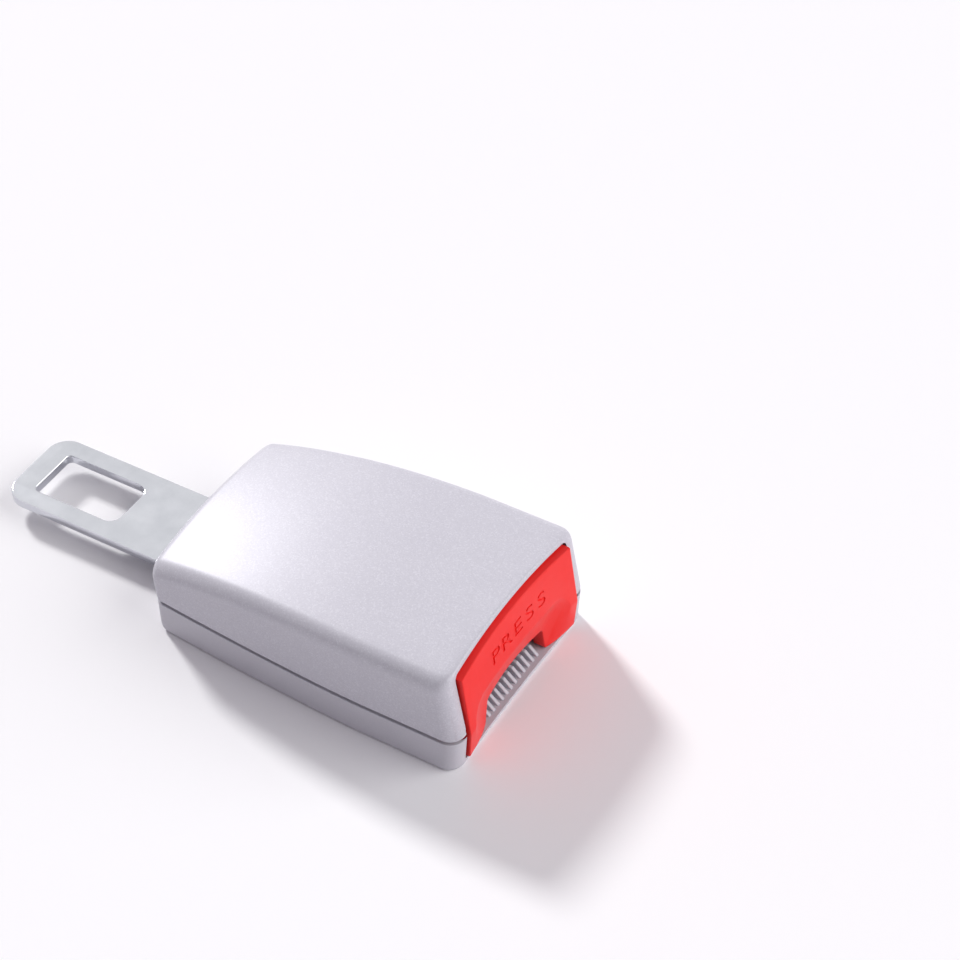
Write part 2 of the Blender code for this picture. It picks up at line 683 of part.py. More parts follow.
def make_frame():
    outer, inner = FLANGE_OUTER, FLANGE_INNER
    bend = BEND_CHAMFER
    section = [(-outer, FRAME_BOTTOM + bend), (-outer + bend, FRAME_BOTTOM), (outer - bend, FRAME_BOTTOM),
               (outer, FRAME_BOTTOM + bend), (outer, TENON_SHOULDER + TENON_RISE),
               (inner, TENON_SHOULDER + TENON_RISE), (inner, FRAME_TOP),
               (-inner, FRAME_TOP), (-inner, TENON_SHOULDER + TENON_RISE),
               (-outer, TENON_SHOULDER + TENON_RISE)]
    bm = bmesh.new()
    extrude(bm, section, "X", FRAME_BACK_X, FRAME_NOSE_X)
    frame = store(bm, "buckle_frame", "zinc_plated_steel")
    low = FRAME_TOP + FLANGE_FOOT
    above = TENON_SHOULDER + TENON_RISE + FLANGE_THICKNESS
    flange_back = LATCH_PIVOT_X - PIN_RADIUS - PIVOT_STEEL
    flange_front = TOOTH_FRONT_X + FLANGE_AHEAD

    def draw_flange_tops(bm):
        tenon = TENON_LENGTH
        back_tenon, front_tenon = tenon_places()
        line = [(FRAME_BACK_X - 1, low), (flange_back, low), (flange_back + 1.5, FLANGE_HEIGHT),
                (BRIDGE_BACK_X, FLANGE_HEIGHT), (BRIDGE_BACK_X + 0.6, TENON_SHOULDER),
                (back_tenon, TENON_SHOULDER), (back_tenon, TENON_SHOULDER + TENON_RISE),
                (back_tenon + tenon, TENON_SHOULDER + TENON_RISE), (back_tenon + tenon, TENON_SHOULDER),
                (NOTCH_BACK_X, TENON_SHOULDER), (NOTCH_BACK_X, LATCH_BOTTOM - 0.6),
                (NOTCH_FRONT_X, LATCH_BOTTOM - 0.6), (NOTCH_FRONT_X, TENON_SHOULDER),
                (front_tenon, TENON_SHOULDER), (front_tenon, TENON_SHOULDER + TENON_RISE),
                (front_tenon + tenon, TENON_SHOULDER + TENON_RISE), (front_tenon + tenon, TENON_SHOULDER),
                (BRIDGE_FRONT_X - 0.6, TENON_SHOULDER), (BRIDGE_FRONT_X, FLANGE_HEIGHT),
                (flange_front, FLANGE_HEIGHT), (flange_front + FLANGE_SLOPE, low), (FRAME_NOSE_X + 1, low)]
        outline = line + [(FRAME_NOSE_X + 1, above), (FRAME_BACK_X - 1, above)]
        extrude(bm, outline, "Y", -outer - 1, outer + 1)

    def draw_plan_cuts(bm):
        nose = PATH_HALF_WIDTH - SEAT_GAP
        neck_x = CAP_BACK_X - BUTTON_TRAVEL - SLIDE_CLEARANCE - 1.0
        for side in (-1, 1):
            outline = [(neck_x - NECK_TAPER, side * (outer + 1)), (neck_x, side * nose),
                       (FRAME_NOSE_X + 1, side * nose), (FRAME_NOSE_X + 1, side * (outer + 1))]
            extrude(bm, outline, "Z", 0.0, above)
            x, y = stud_place(side)
            rod(bm, STUD_RADIUS + SEAT_GAP, "Z", (x, y, 0), 0.0, FRAME_TOP + 1.0, 12)

    def draw_slots(bm):
        keel = KEEL_HALF_WIDTH + SEAT_GAP
        tooth = TOOTH_HALF_WIDTH + 0.4
        crotch = EJECTOR_CROTCH_X + SEAT_GAP
        front = TOOTH_FRONT_X + 0.8
        slot = [(TONGUE_ROOT_X, -keel), (crotch, -keel), (crotch, -tooth), (front, -tooth),
                (front, tooth), (crotch, tooth), (crotch, keel), (TONGUE_ROOT_X, keel)]
        extrude(bm, slot, "Z", 0.0, FRAME_TOP + 1.0)
        for x in rivet_places():
            extra = PIN_CLEARANCE
            flare = RIVET_RADIUS + RIVET_FLARE + extra
            profile = [(0, FRAME_BOTTOM - 0.5), (flare, FRAME_BOTTOM - 0.5),
                       (flare, FRAME_BOTTOM), (RIVET_RADIUS + extra, FRAME_TOP - 0.5),
                       (RIVET_RADIUS + extra, FRAME_TOP + 1.0), (0, FRAME_TOP + 1.0)]
            turn(bm, profile, "Z", (x, 0, 0), 16)
        for side in (-1, 1):
            low_y, high_y = sorted((side * (inner - 1), side * (outer + 1)))
            rod(bm, PIN_RADIUS + PIN_CLEARANCE, "Y", (LATCH_PIVOT_X, 0, PIVOT_Z), low_y, high_y, 16)

    shape_with(frame, "DIFFERENCE", "flange_tops", draw_flange_tops)
    shape_with(frame, "DIFFERENCE", "frame_plan", draw_plan_cuts)
    shape_with(frame, "DIFFERENCE", "frame_slots", draw_slots)


def tenon_places():
    """Rear ends of the flanges' two tenons."""
    return BRIDGE_BACK_X + TENON_INSET, BRIDGE_FRONT_X - TENON_INSET - TENON_LENGTH


def make_bridge():
    half = FLANGE_OUTER + BRIDGE_OVERHANG
    bm = bmesh.new()
    plan = [(BRIDGE_BACK_X, -half), (BRIDGE_FRONT_X, -half), (BRIDGE_FRONT_X, half), (BRIDGE_BACK_X, half)]
    extrude(bm, plan, "Z", BRIDGE_BOTTOM, BRIDGE_BOTTOM + BRIDGE_THICKNESS)
    bridge = store(bm, "spring_bridge", "zinc_plated_steel")

    def draw_tenon_slots(bm):
        gap = PIN_CLEARANCE
        for side in (-1, 1):
            inner, outer = sorted((side * (FLANGE_INNER - gap), side * (FLANGE_OUTER + gap)))
            for start in tenon_places():
                low = (start - gap, inner, BRIDGE_BOTTOM - 1)
                box(bm, low, (start + TENON_LENGTH + gap, outer, BRIDGE_BOTTOM + 2 * BRIDGE_THICKNESS))

    shape_with(bridge, "DIFFERENCE", "tenon_slots", draw_tenon_slots)


def make_rivets():
    for name, x in zip(("tongue_rivet_front", "tongue_rivet_rear"), rivet_places()):
        seat = TONGUE_TOP + SEAT_GAP
        angles = [math.pi / 6 * step for step in range(3)]
        dome = [(RIVET_HEAD_RADIUS * math.cos(a), seat + RIVET_HEAD_HEIGHT * math.sin(a)) for a in angles]
        shank = [(0, FRAME_BOTTOM), (RIVET_RADIUS + RIVET_FLARE, FRAME_BOTTOM),
                 (RIVET_RADIUS, FRAME_TOP - 0.5), (RIVET_RADIUS, seat)]
        profile = shank + dome + [(0, seat + RIVET_HEAD_HEIGHT)]
        bm = bmesh.new()
        turn(bm, profile, "Z", (x, 0, 0), 20)
        store(bm, name, "zinc_plated_steel", smooth=True)


def make_latch():
    pivot = (LATCH_PIVOT_X, 0.0, PIVOT_Z)
    half = FLANGE_INNER - LATCH_SIDE_GAP
    ear = FLANGE_OUTER + EAR_REACH
    nose = TOOTH_HALF_WIDTH + TOOTH_SHOULDER
    right = [(TOOTH_FRONT_X - 1.0, TOOTH_HALF_WIDTH), (TOOTH_BACK_X - 2.0, nose), (EAR_FRONT_X + 2.0, half),
             (EAR_FRONT_X, half), (EAR_FRONT_X, ear), (EAR_BACK_X, ear), (EAR_BACK_X, half),
             (LATCH_PIVOT_X, half)]
    bm = bmesh.new()
    extrude(bm, right + [(x, -y) for x, y in reversed(right)], "Z", LATCH_BOTTOM, LATCH_TOP)
    latch = store(bm, "latch", "hardened_steel", pivot)

    def draw_tooth(bm):
        profile = [(TOOTH_BACK_X, TOOTH_BOTTOM), (TOOTH_BACK_X + 1.0, TOOTH_BOTTOM),
                   (TOOTH_FRONT_X, LATCH_BOTTOM), (TOOTH_FRONT_X, LATCH_TOP - 0.5),
                   (TOOTH_FRONT_X - 0.5, LATCH_TOP), (TOOTH_BACK_X, LATCH_TOP)]
        extrude(bm, profile, "Y", -TOOTH_HALF_WIDTH, TOOTH_HALF_WIDTH)

    def draw_sleeve(bm):
        rod(bm, SLEEVE_RADIUS, "Y", pivot, -half, half, 24)

    def draw_spring_seat(bm):
        inside = LATCH_SPRING[1] - LATCH_SPRING[0] - SEAT_GAP
        rod(bm, inside, "Z", (LATCH_SPRING_X, 0, 0), LATCH_TOP - 0.5, LATCH_TOP + 1.3, 12)

    def draw_pin_hole(bm):
        rod(bm, PIN_RADIUS + PIN_CLEARANCE, "Y", pivot, -half - 1, half + 1, 16)

    shape_with(latch, "UNION", "latch_tooth", draw_tooth, pivot)
    shape_with(latch, "UNION", "latch_sleeve", draw_sleeve, pivot)
    shape_with(latch, "UNION", "latch_spring_seat", draw_spring_seat, pivot)
    shape_with(latch, "DIFFERENCE", "latch_pin_hole", draw_pin_hole, pivot)


def make_latch_pin():
    centre = (LATCH_PIVOT_X, 0.0, PIVOT_Z)
    reach = FLANGE_OUTER + SEAT_GAP + CLIP_THICKNESS + 0.6
    bm = bmesh.new()
    turn(bm, [(0, -reach), (PIN_RADIUS - 0.3, -reach), (PIN_RADIUS, 0.3 - reach), (PIN_RADIUS, reach - 0.3),
              (PIN_RADIUS - 0.3, reach), (0, reach)], "Y", centre, 16)
    store(bm, "latch_pin", "zinc_plated_steel", smooth=True)
    for name, side in (("pin_clip_left", 1), ("pin_clip_right", -1)):
        near = side * (FLANGE_OUTER + SEAT_GAP)
        far = near + side * CLIP_THICKNESS
        hole = PIN_RADIUS + 0.15
        ring = [(hole, near), (CLIP_RADIUS, near), (CLIP_RADIUS, far), (hole, far)]
        bm = bmesh.new()
        turn(bm, ring, "Y", centre, 16, ring=True)
        store(bm, name, "spring_steel", smooth=True)


def make_ejector():
    half = PATH_HALF_WIDTH - 0.3
    inner = half - FORK_SIDE_WIDTH
    tip = EJECTOR_CROTCH_X + FORK_LENGTH
    right = [(tip, inner), (tip, half - 0.8), (tip - 0.8, half), (EJECTOR_BACK_X, half)]
    plan = [(EJECTOR_CROTCH_X, inner)] + right
    bm = bmesh.new()
    extrude(bm, plan + [(x, -y) for x, y in reversed(plan)], "Z", EJECTOR_BOTTOM, EJECTOR_TOP)
    pivot = (tip, 0.0, EJECTOR_BOTTOM)
    ejector = store(bm, "ejector", "acetal_plastic", pivot)

    def draw_keel(bm):
        box(bm, (EJECTOR_BACK_X + 0.4, -KEEL_HALF_WIDTH, FRAME_BOTTOM + 0.2),
            (EJECTOR_CROTCH_X - 0.4, KEEL_HALF_WIDTH, EJECTOR_BOTTOM + 0.6))

    def draw_peg(bm):
        radius = EJECTOR_SPRING[1] - EJECTOR_SPRING[0] - SEAT_GAP
        start, stop = EJECTOR_BACK_X - KEEL_PEG, EJECTOR_BACK_X + KEEL_PEG_ROOT
        rod(bm, radius, "X", (0, 0, EJECTOR_SPRING_Z), start, stop, 12)

    shape_with(ejector, "UNION", "ejector_keel", draw_keel, pivot)
    shape_with(ejector, "UNION", "ejector_peg", draw_peg, pivot)


def bowed(y, depth):
    """X of the button's hollow front, some depth behind its ridge."""
    return RIDGE_X - depth - BUTTON_HOLLOW * (1 - (y / CAP_HALF_WIDTH) ** 2)


def face_depth(z):
    """How far the leaning face stands behind the ridge."""
    return FACE_LEAN * (z - RIDGE_HEIGHT) / (FACE_TOP - RIDGE_HEIGHT)


def cap_columns():
    """Columns across the right half of the button's front, from its side to its middle.

    Each has a foot (x, y, z), on the leg's or the mouth's edge, and a point (y, z) of the arch."""
    slot = PATH_HALF_WIDTH
    foot_z = FLOOR + SEAT_GAP
    leg = bowed(ARCH_OUTER, LEG_INSET)
    edge = bowed(slot, FUNNEL_SIDE_DEPTH)
    middle = bowed(0.0, FUNNEL_DEPTH)
    inner_foot = slot + MOUTH_DRAFT
    feet = [(bowed(CAP_HALF_WIDTH, LEG_INSET), CAP_HALF_WIDTH - LEG_DRAFT, foot_z), (leg, ARCH_OUTER, foot_z),
            ((leg + edge) / 2, (ARCH_OUTER + inner_foot) / 2, foot_z), (edge, inner_foot, foot_z)]
    for step in range(4):
        angle = math.pi / 6 * step
        z = MOUTH_TOP - MOUTH_CORNER * (1 - math.sin(angle))
        spread = MOUTH_DRAFT * (MOUTH_TOP - z) / (MOUTH_TOP - foot_z)
        feet.append((edge, slot + spread - MOUTH_CORNER * (1 - math.cos(angle)), z))
    feet += [((edge + middle * 3) / 4, slot / 2, MOUTH_TOP), (middle, 0.0, MOUTH_TOP)]
    radius = ARCH_TOP - RIDGE_HEIGHT
    arch = [(CAP_HALF_WIDTH, RIDGE_HEIGHT)]
    steps = 5
    for step in range(steps + 1):
        angle = math.pi / 2 * step / steps
        arch.append((ARCH_OUTER - radius * (1 - math.cos(angle)), RIDGE_HEIGHT + radius * math.sin(angle)))
    level = ARCH_OUTER - radius
    arch += [(level * 2 / 3, ARCH_TOP), (level / 3, ARCH_TOP), (0.0, ARCH_TOP)]
    return list(zip(feet, arch))


def make_button():
    columns = cap_columns()
    columns = columns + [((x, -y, z), (-b, c)) for (x, y, z), (b, c) in reversed(columns[:-1])]
    ceiling = crown(FRONT_X) - WALL - BUTTON_CLEARANCE
    bm = bmesh.new()
    rows = []
    for (x, y, z), (arch_y, arch_z) in columns:
        share = (arch_y / CAP_HALF_WIDTH) ** 2
        top_y = arch_y * (CAP_HALF_WIDTH - SIDE_LEAN) / CAP_HALF_WIDTH
        face_top = FACE_TOP + FACE_CROWN * (1 - share)
        points = [(x, y, z), (bowed(arch_y, face_depth(arch_z)), arch_y, arch_z),
                  (bowed(arch_y, face_depth(face_top)), top_y, face_top),
                  (CAP_BACK_X, top_y, ceiling - (ceiling - FACE_TOP) * share),
                  (CAP_BACK_X, y, z)]
        rows.append([bm.verts.new(point) for point in points])
    for first, second in zip(rows, rows[1:]):
        for index in range(len(first)):
            other = (index + 1) % len(first)
            bm.faces.new((first[index], first[other], second[other], second[index]))
    bm.faces.new(rows[0])
    bm.faces.new(rows[-1])
    bmesh.ops.triangulate(bm, faces=bm.faces)
    pivot = (RIDGE_X, 0.0, RIDGE_HEIGHT)
    button = store(bm, "release_button", "red_plastic", pivot)
    lift = ear_lift()

    def draw_arms(bm):
        front = CAP_BACK_X + 0.8
        profile = [(ARM_BACK_X, ARM_BOTTOM), (front, ARM_BOTTOM), (front, FACE_TOP - ARM_GUSSET),
                   (CAP_BACK_X - ARM_SLOPE, EAR_LEVEL + lift[1]),
                   (EAR_FRONT_X + lift[0], EAR_LEVEL + lift[1]),
                   (EAR_FRONT_X, EAR_LEVEL), (EAR_FRONT_X - 0.6, ARM_TOP), (ARM_BACK_X, ARM_TOP)]
        for side in (-1, 1):
            inner, outer = sorted((side * ARM_INNER, side * ARM_OUTER))
            extrude(bm, profile, "Y", inner, outer)

    def draw_barbs(bm):
        back, front = ARM_BACK_X + 0.4, ARM_BACK_X + BARB_LENGTH
        for side in (-1, 1):
            plan = [(back, side * (ARM_OUTER - 0.5)), (front, side * (ARM_OUTER - 0.5)),
                    (front, side * (ARM_OUTER + BARB_REACH)), (back, side * (ARM_OUTER + 0.4))]
            extrude(bm, plan, "Z", ARM_BOTTOM + 0.3, ARM_TOP - 0.3)
            radius = BUTTON_SPRING[1] - BUTTON_SPRING[0] - SEAT_GAP
            centre = (0, side * ARM_MID, BUTTON_SPRING_Z)
            rod(bm, radius, "X", centre, ARM_BACK_X - ARM_PEG, ARM_BACK_X + SEAT_GAP, 10)

    shape_with(button, "UNION", "button_arms", draw_arms, pivot)
    shape_with(button, "UNION", "button_barbs", draw_barbs, pivot)


def ear_lift():
    """How far along and up the button's ramps end: the latch's ear rises by its lift angle."""
    angle = math.radians(LATCH_LIFT_DEG)
    arm = Vector((EAR_FRONT_X - LATCH_PIVOT_X, LATCH_BOTTOM - PIVOT_Z))
    lifted = Matrix.Rotation(angle, 2) @ arm
    moved = lifted - arm
    return BUTTON_TRAVEL + moved.x, moved.y


def make_springs():
    def spring(name, sizes, start, direction, length, stroke):
        bm = bmesh.new()
        coil(bm, sizes, start, direction, length, stroke)
        store(bm, name, "spring_steel", smooth=True)

    foot = LATCH_TOP + SEAT_GAP
    lifted = (LATCH_SPRING_X - LATCH_PIVOT_X) * math.sin(math.radians(LATCH_LIFT_DEG))
    spring("latch_spring", LATCH_SPRING, (LATCH_SPRING_X, 0, foot), (0, 0, 1),
           BRIDGE_BOTTOM - SEAT_GAP - foot, lifted)
    start = TONGUE_ROOT_X + SEAT_GAP
    spring("ejector_spring", EJECTOR_SPRING, (start, 0, EJECTOR_SPRING_Z), (1, 0, 0),
           EJECTOR_BACK_X - SEAT_GAP - start, EJECTOR_TRAVEL)
    for name, side in (("button_spring_left", 1), ("button_spring_right", -1)):
        start = (SPRING_POST_X + SEAT_GAP, side * ARM_MID, BUTTON_SPRING_Z)
        spring(name, BUTTON_SPRING, start, (1, 0, 0), BUTTON_SPRING_LENGTH, BUTTON_TRAVEL)


def make_screws():
    for place, (x, y) in screw_places().items():
        under_head = SCREW_RECESS - SEAT_GAP
        head_face = under_head - SCREW_HEAD_HEIGHT
        profile = [(0, head_face), (SCREW_HEAD_RADIUS - 0.5, head_face), (SCREW_HEAD_RADIUS, head_face + 0.5),
                   (SCREW_HEAD_RADIUS, under_head), (SCREW_RADIUS, under_head),
                   (SCREW_RADIUS, screw_tip() - 1.4), (0, screw_tip())]
        bm = bmesh.new()
        turn(bm, profile, "Z", (x, y, 0), 14)
        store(bm, "casing_screw_" + place, "zinc_plated_steel", smooth=True)


def main():
    clear_scene()
    origin = bpy.data.objects.new("extender_origin", None)
    origin.location.x = -(TONGUE_TIP_X + RIDGE_X) / 2 * MM
    bpy.context.scene.collection.objects.link(origin)
    finish_material("painted_cover", (0.60, 0.58, 0.62), 0.35, 0.42)
    finish_material("tray_plastic", (0.52, 0.50, 0.54), 0.0, 0.5)
    finish_material("red_plastic", (0.87, 0.06, 0.055), 0.0, 0.35)
    finish_material("chromed_steel", (0.80, 0.80, 0.82), 1.0, 0.08)
    finish_material("zinc_plated_steel", (0.62, 0.63, 0.64), 1.0, 0.35)
    finish_material("hardened_steel", (0.42, 0.42, 0.44), 1.0, 0.4)
    finish_material("spring_steel", (0.50, 0.50, 0.52), 1.0, 0.3)
    finish_material("acetal_plastic", (0.04, 0.04, 0.045), 0.0, 0.4)
    make_upper_casing()
    make_lower_casing()
    make_tongue_plate()
    make_frame()
    make_bridge()
    make_rivets()
    make_latch()
    make_latch_pin()
    make_ejector()
    make_button()
    make_springs()
    make_screws()


main()
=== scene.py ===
import json
import math

import bmesh
import bpy
from mathutils import Matrix, Vector


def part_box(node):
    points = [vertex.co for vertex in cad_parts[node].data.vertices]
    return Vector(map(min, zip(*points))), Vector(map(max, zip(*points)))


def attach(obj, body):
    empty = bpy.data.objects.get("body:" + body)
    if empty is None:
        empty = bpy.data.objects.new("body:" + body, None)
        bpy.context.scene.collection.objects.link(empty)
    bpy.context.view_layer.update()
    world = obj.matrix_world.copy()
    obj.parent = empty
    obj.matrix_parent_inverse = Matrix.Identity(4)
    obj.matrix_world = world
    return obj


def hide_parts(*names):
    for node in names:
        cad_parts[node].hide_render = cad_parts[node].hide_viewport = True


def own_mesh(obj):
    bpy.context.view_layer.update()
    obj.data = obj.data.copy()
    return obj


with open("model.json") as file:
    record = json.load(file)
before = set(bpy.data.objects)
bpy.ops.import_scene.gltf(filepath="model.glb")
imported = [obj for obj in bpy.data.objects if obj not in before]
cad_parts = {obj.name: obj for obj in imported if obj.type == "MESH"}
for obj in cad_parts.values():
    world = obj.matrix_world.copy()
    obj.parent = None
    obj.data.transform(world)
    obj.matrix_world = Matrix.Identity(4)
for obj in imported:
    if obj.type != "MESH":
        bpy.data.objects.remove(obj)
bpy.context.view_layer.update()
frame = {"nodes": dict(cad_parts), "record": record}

casing = {
    "length": 77.3, "frontWidth": 52.3, "backWidth": 45.3, "parallel": 22.5, "sideCurve": 1.45,
    "crown": 26.8, "backDrop": 7.0, "dropCurve": 2.7, "topBow": 1.4, "sideLean": 0.15, "shoulder": (5, 82),
    "topRadius": 3.7, "innerRadius": 1.5, "frontCorner": 3.3, "backCorner": 2.7, "bottomRadius": 1.0,
    "rimLean": 2.8, "rimHollow": 0.5, "trayLean": 0.8, "frontRun": 29.0, "backLean": 1.0, "backRun": 20.0,
    "wall": 1.8, "rimWall": 0.9, "floor": 1.0, "parting": 8.8, "gap": 0.9, "lapWall": 0.75, "lipWall": 1.3,
    "lipRise": 1.2, "lapSetback": 2.0, "topEdge": 0.4, "partingEdge": 0.1,
}
frontX = casing["length"] / 2
backX = -frontX
upperFoot = casing["parting"] + casing["gap"] / 2
lowerTop = casing["parting"] - casing["gap"] / 2
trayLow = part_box("lower_casing")[0]
rowPlace = Matrix.Translation((trayLow[0] - backX * 0.001, 0, 0)) @ Matrix.Scale(0.001, 4)
print("frame loaded, casing middle at", round(rowPlace.translation.x, 5))


# Colours are written as sRGB hex and turned to linear here
def hexColour(text):
    parts = [int(text[i:i + 2], 16) / 255 for i in (0, 2, 4)]
    return tuple(c / 12.92 if c <= 0.04045 else ((c + 0.055) / 1.055) ** 2.4 for c in parts) + (1.0,)


# One node, with its settings, constant inputs and links
def addNode(tree, kind, settings=None, values=None, links=None):
    node = tree.nodes.new(kind)
    for key, value in (settings or {}).items():
        setattr(node, key, value)
    for key, value in (values or {}).items():
        node.inputs[key].default_value = value
    for key, socket in (links or {}).items():
        tree.links.new(socket, node.inputs[key])
    return node


def startMaterial(name, values):
    material = bpy.data.materials.new(name)
    material.use_nodes = True
    tree = material.node_tree
    tree.nodes.clear()
    shader = addNode(tree, "ShaderNodeBsdfPrincipled", values=values)
    addNode(tree, "ShaderNodeOutputMaterial", links={"Surface": shader.outputs["BSDF"]})
    place = addNode(tree, "ShaderNodeTexCoord").outputs["Object"]
    return material, tree, shader, place


# Noise of a real size mixes the two shades of a colour
def addShades(tree, place, s, sizeMm, detail):
    noise = addNode(tree, "ShaderNodeTexNoise", values={"Scale": 1000 / sizeMm, "Detail": detail},
                    links={"Vector": place}).outputs["Fac"]
    shades = addNode(tree, "ShaderNodeMix", {"data_type": "RGBA"},
                     {6: hexColour(s["low"]), 7: hexColour(s["high"])}, {0: noise})
    return noise, shades.outputs[2]


def addBump(tree, shader, height, strength, depthMm):
    bump = addNode(tree, "ShaderNodeBump", values={"Strength": strength, "Distance": depthMm * 0.001},
                   links={"Height": height})
    tree.links.new(bump.outputs[0], shader.inputs["Normal"])


# Metallic base coat under satin lacquer on ABS: an even silver grey with a fine glitter.
# Real flakes are a tenth of this size; they are drawn as coarse as they need to show.
silverPaint = {
    "low": "C4C2CB", "high": "CAC8D0", "flake": "DBDAE1", "dark": "BEBCC5", "flakeMm": 0.25, "driftMm": 14.0,
}


def makeSilverPaint():
    s = silverPaint
    material, tree, shader, place = startMaterial("metallicPaintOnAbs", {
        "Metallic": 0.1, "Roughness": 0.48, "Specular IOR Level": 0.35})
    _, base = addShades(tree, place, s, s["driftMm"], 3.0)
    flakes = addNode(tree, "ShaderNodeTexVoronoi", values={"Scale": 1000 / s["flakeMm"]},
                     links={"Vector": place})
    split = addNode(tree, "ShaderNodeSeparateColor", links={0: flakes.outputs["Color"]})
    bright = addNode(tree, "ShaderNodeMapRange",
                     values={"From Min": 0.7, "From Max": 1.0, "To Min": 0.0, "To Max": 0.5},
                     links={"Value": split.outputs[0]})
    lit = addNode(tree, "ShaderNodeMix", {"data_type": "RGBA"}, {7: hexColour(s["flake"])},
                  {0: bright.outputs[0], 6: base})
    dim = addNode(tree, "ShaderNodeMapRange",
                  values={"From Min": 0.3, "From Max": 0.0, "To Min": 0.0, "To Max": 0.6},
                  links={"Value": split.outputs[0]})
    mixed = addNode(tree, "ShaderNodeMix", {"data_type": "RGBA"}, {7: hexColour(s["dark"])},
                    {0: dim.outputs[0], 6: lit.outputs[2]})
    tree.links.new(mixed.outputs[2], shader.inputs["Base Color"])
    addBump(tree, shader, split.outputs[1], 0.06, 0.02)
    return material


# ABS moulded in a spark-eroded tool: plain silver grey, a little duller than the paint, with a fine grain
grainedAbs = {"low": "C2C0C8", "high": "CAC8CF", "grainMm": 0.35}


def makeGrainedAbs():
    s = grainedAbs
    material, tree, shader, place = startMaterial("grainedGreyAbs", {
        "Roughness": 0.5, "Specular IOR Level": 0.35})
    grain, base = addShades(tree, place, s, s["grainMm"], 2.0)
    tree.links.new(base, shader.inputs["Base Color"])
    addBump(tree, shader, grain, 0.15, 0.03)
    return material


# ABS coloured through and moulded in a polished tool: saturated red, satin, faintly uneven
redAbs = {"low": "F02724", "high": "F4302D", "rippleMm": 1.6}


def makeRedAbs():
    s = redAbs
    material, tree, shader, place = startMaterial("polishedRedAbs", {
        "Roughness": 0.36, "Specular IOR Level": 0.22})
    ripple, base = addShades(tree, place, s, s["rippleMm"], 4.0)
    tree.links.new(base, shader.inputs["Base Color"])
    addBump(tree, shader, ripple, 0.05, 0.04)
    return material


# Metals differ in colour, in how blurred their reflection is and in the size of their unevenness
metals = {
    "chromedSteel": {
        "low": "C2C4CB", "high": "DADBE1", "rough": (0.06, 0.13), "spotMm": 6.0, "bump": 0.02,
    },
    "zincPlatedSteel": {
        "low": "A9ABAF", "high": "C3C5C8", "rough": (0.28, 0.42), "spotMm": 2.0, "bump": 0.08,
    },
    "blackenedHardSteel": {
        "low": "55565A", "high": "6B6C70", "rough": (0.30, 0.45), "spotMm": 1.5, "bump": 0.1,
    },
    "drawnSpringSteel": {
        "low": "8E8F93", "high": "A5A6AA", "rough": (0.22, 0.34), "spotMm": 0.8, "bump": 0.08,
    },
}


def makeMetal(name):
    s = metals[name]
    material, tree, shader, place = startMaterial(name, {"Metallic": 1.0, "Roughness": 0.3})
    spots, base = addShades(tree, place, s, s["spotMm"], 4.0)
    tree.links.new(base, shader.inputs["Base Color"])
    rough = addNode(tree, "ShaderNodeMapRange", values={"To Min": s["rough"][0], "To Max": s["rough"][1]},
                    links={"Value": spots})
    tree.links.new(rough.outputs[0], shader.inputs["Roughness"])
    addBump(tree, shader, spots, s["bump"], 0.03)
    return material


# Acetal is slippery and slightly waxy: near black, with a soft broad sheen
acetal = {"low": "1B1B1D", "high": "262629", "driftMm": 2.5}


def makeAcetal():
    s = acetal
    material, tree, shader, place = startMaterial("blackAcetal", {"Roughness": 0.38})
    _, base = addShades(tree, place, s, s["driftMm"], 2.0)
    tree.links.new(base, shader.inputs["Base Color"])
    return material


materials = {
    "painted_cover": makeSilverPaint(), "tray_plastic": makeGrainedAbs(), "red_plastic": makeRedAbs(),
    "chromed_steel": makeMetal("chromedSteel"), "zinc_plated_steel": makeMetal("zincPlatedSteel"),
    "hardened_steel": makeMetal("blackenedHardSteel"), "spring_steel": makeMetal("drawnSpringSteel"),
    "acetal_plastic": makeAcetal(),
}
print("materials made:", len(materials))


def linkObject(name, mesh):
    item = bpy.data.objects.new(name, mesh)
    bpy.context.scene.collection.objects.link(item)
    return item


smoothAngle = 32    # edges that turn further than this many degrees are shaded sharp


def shadeByAngle(mesh, angle):
    mesh.shade_smooth()
    mesh.set_sharp_from_angle(angle=math.radians(angle))


# Turns a mesh drawn in millimetres into an object in the row frame
def meshToObject(name, bm, slotName, sharpAngle=smoothAngle):
    bmesh.ops.recalc_face_normals(bm, faces=bm.faces)
    bm.transform(rowPlace)
    mesh = bpy.data.meshes.new(name)
    bm.to_mesh(mesh)
    bm.free()
    mesh.materials.append(materials[slotName])
    shadeByAngle(mesh, sharpAngle)
    return linkObject(name, mesh)


# Applies what modifiers the object has, so that it is a plain mesh
def settle(item):
    graph = bpy.context.evaluated_depsgraph_get()
    mesh = bpy.data.meshes.new_from_object(item.evaluated_get(graph))
    item.modifiers.clear()
    item.data = mesh
    return item


def dropObject(item):
    bpy.data.objects.remove(item, do_unlink=True)


def cutWith(item, cutter):
    modifier = item.modifiers.new("cut", "BOOLEAN")
    modifier.operation = "DIFFERENCE"
    modifier.solver = "EXACT"
    modifier.object = cutter
    settle(item)
    dropObject(cutter)


def roundEdges(item, width, angle=35, segments=2):
    modifier = item.modifiers.new("edges", "BEVEL")
    modifier.width = width * 0.001
    modifier.segments = segments
    modifier.limit_method = "ANGLE"
    modifier.angle_limit = math.radians(angle)
    settle(item)
    shadeByAngle(item.data, smoothAngle)
    return item


def joinInto(item, others, sharpAngle=smoothAngle):
    bm = bmesh.new()
    for part in [item] + others:
        bm.from_mesh(part.data)
    bm.to_mesh(item.data)
    bm.free()
    shadeByAngle(item.data, sharpAngle)
    for part in others:
        dropObject(part)
    return item


def onAxis(axis, a, b, height):
    return {"X": (height, a, b), "Y": (a, height, b), "Z": (a, b, height)}[axis]


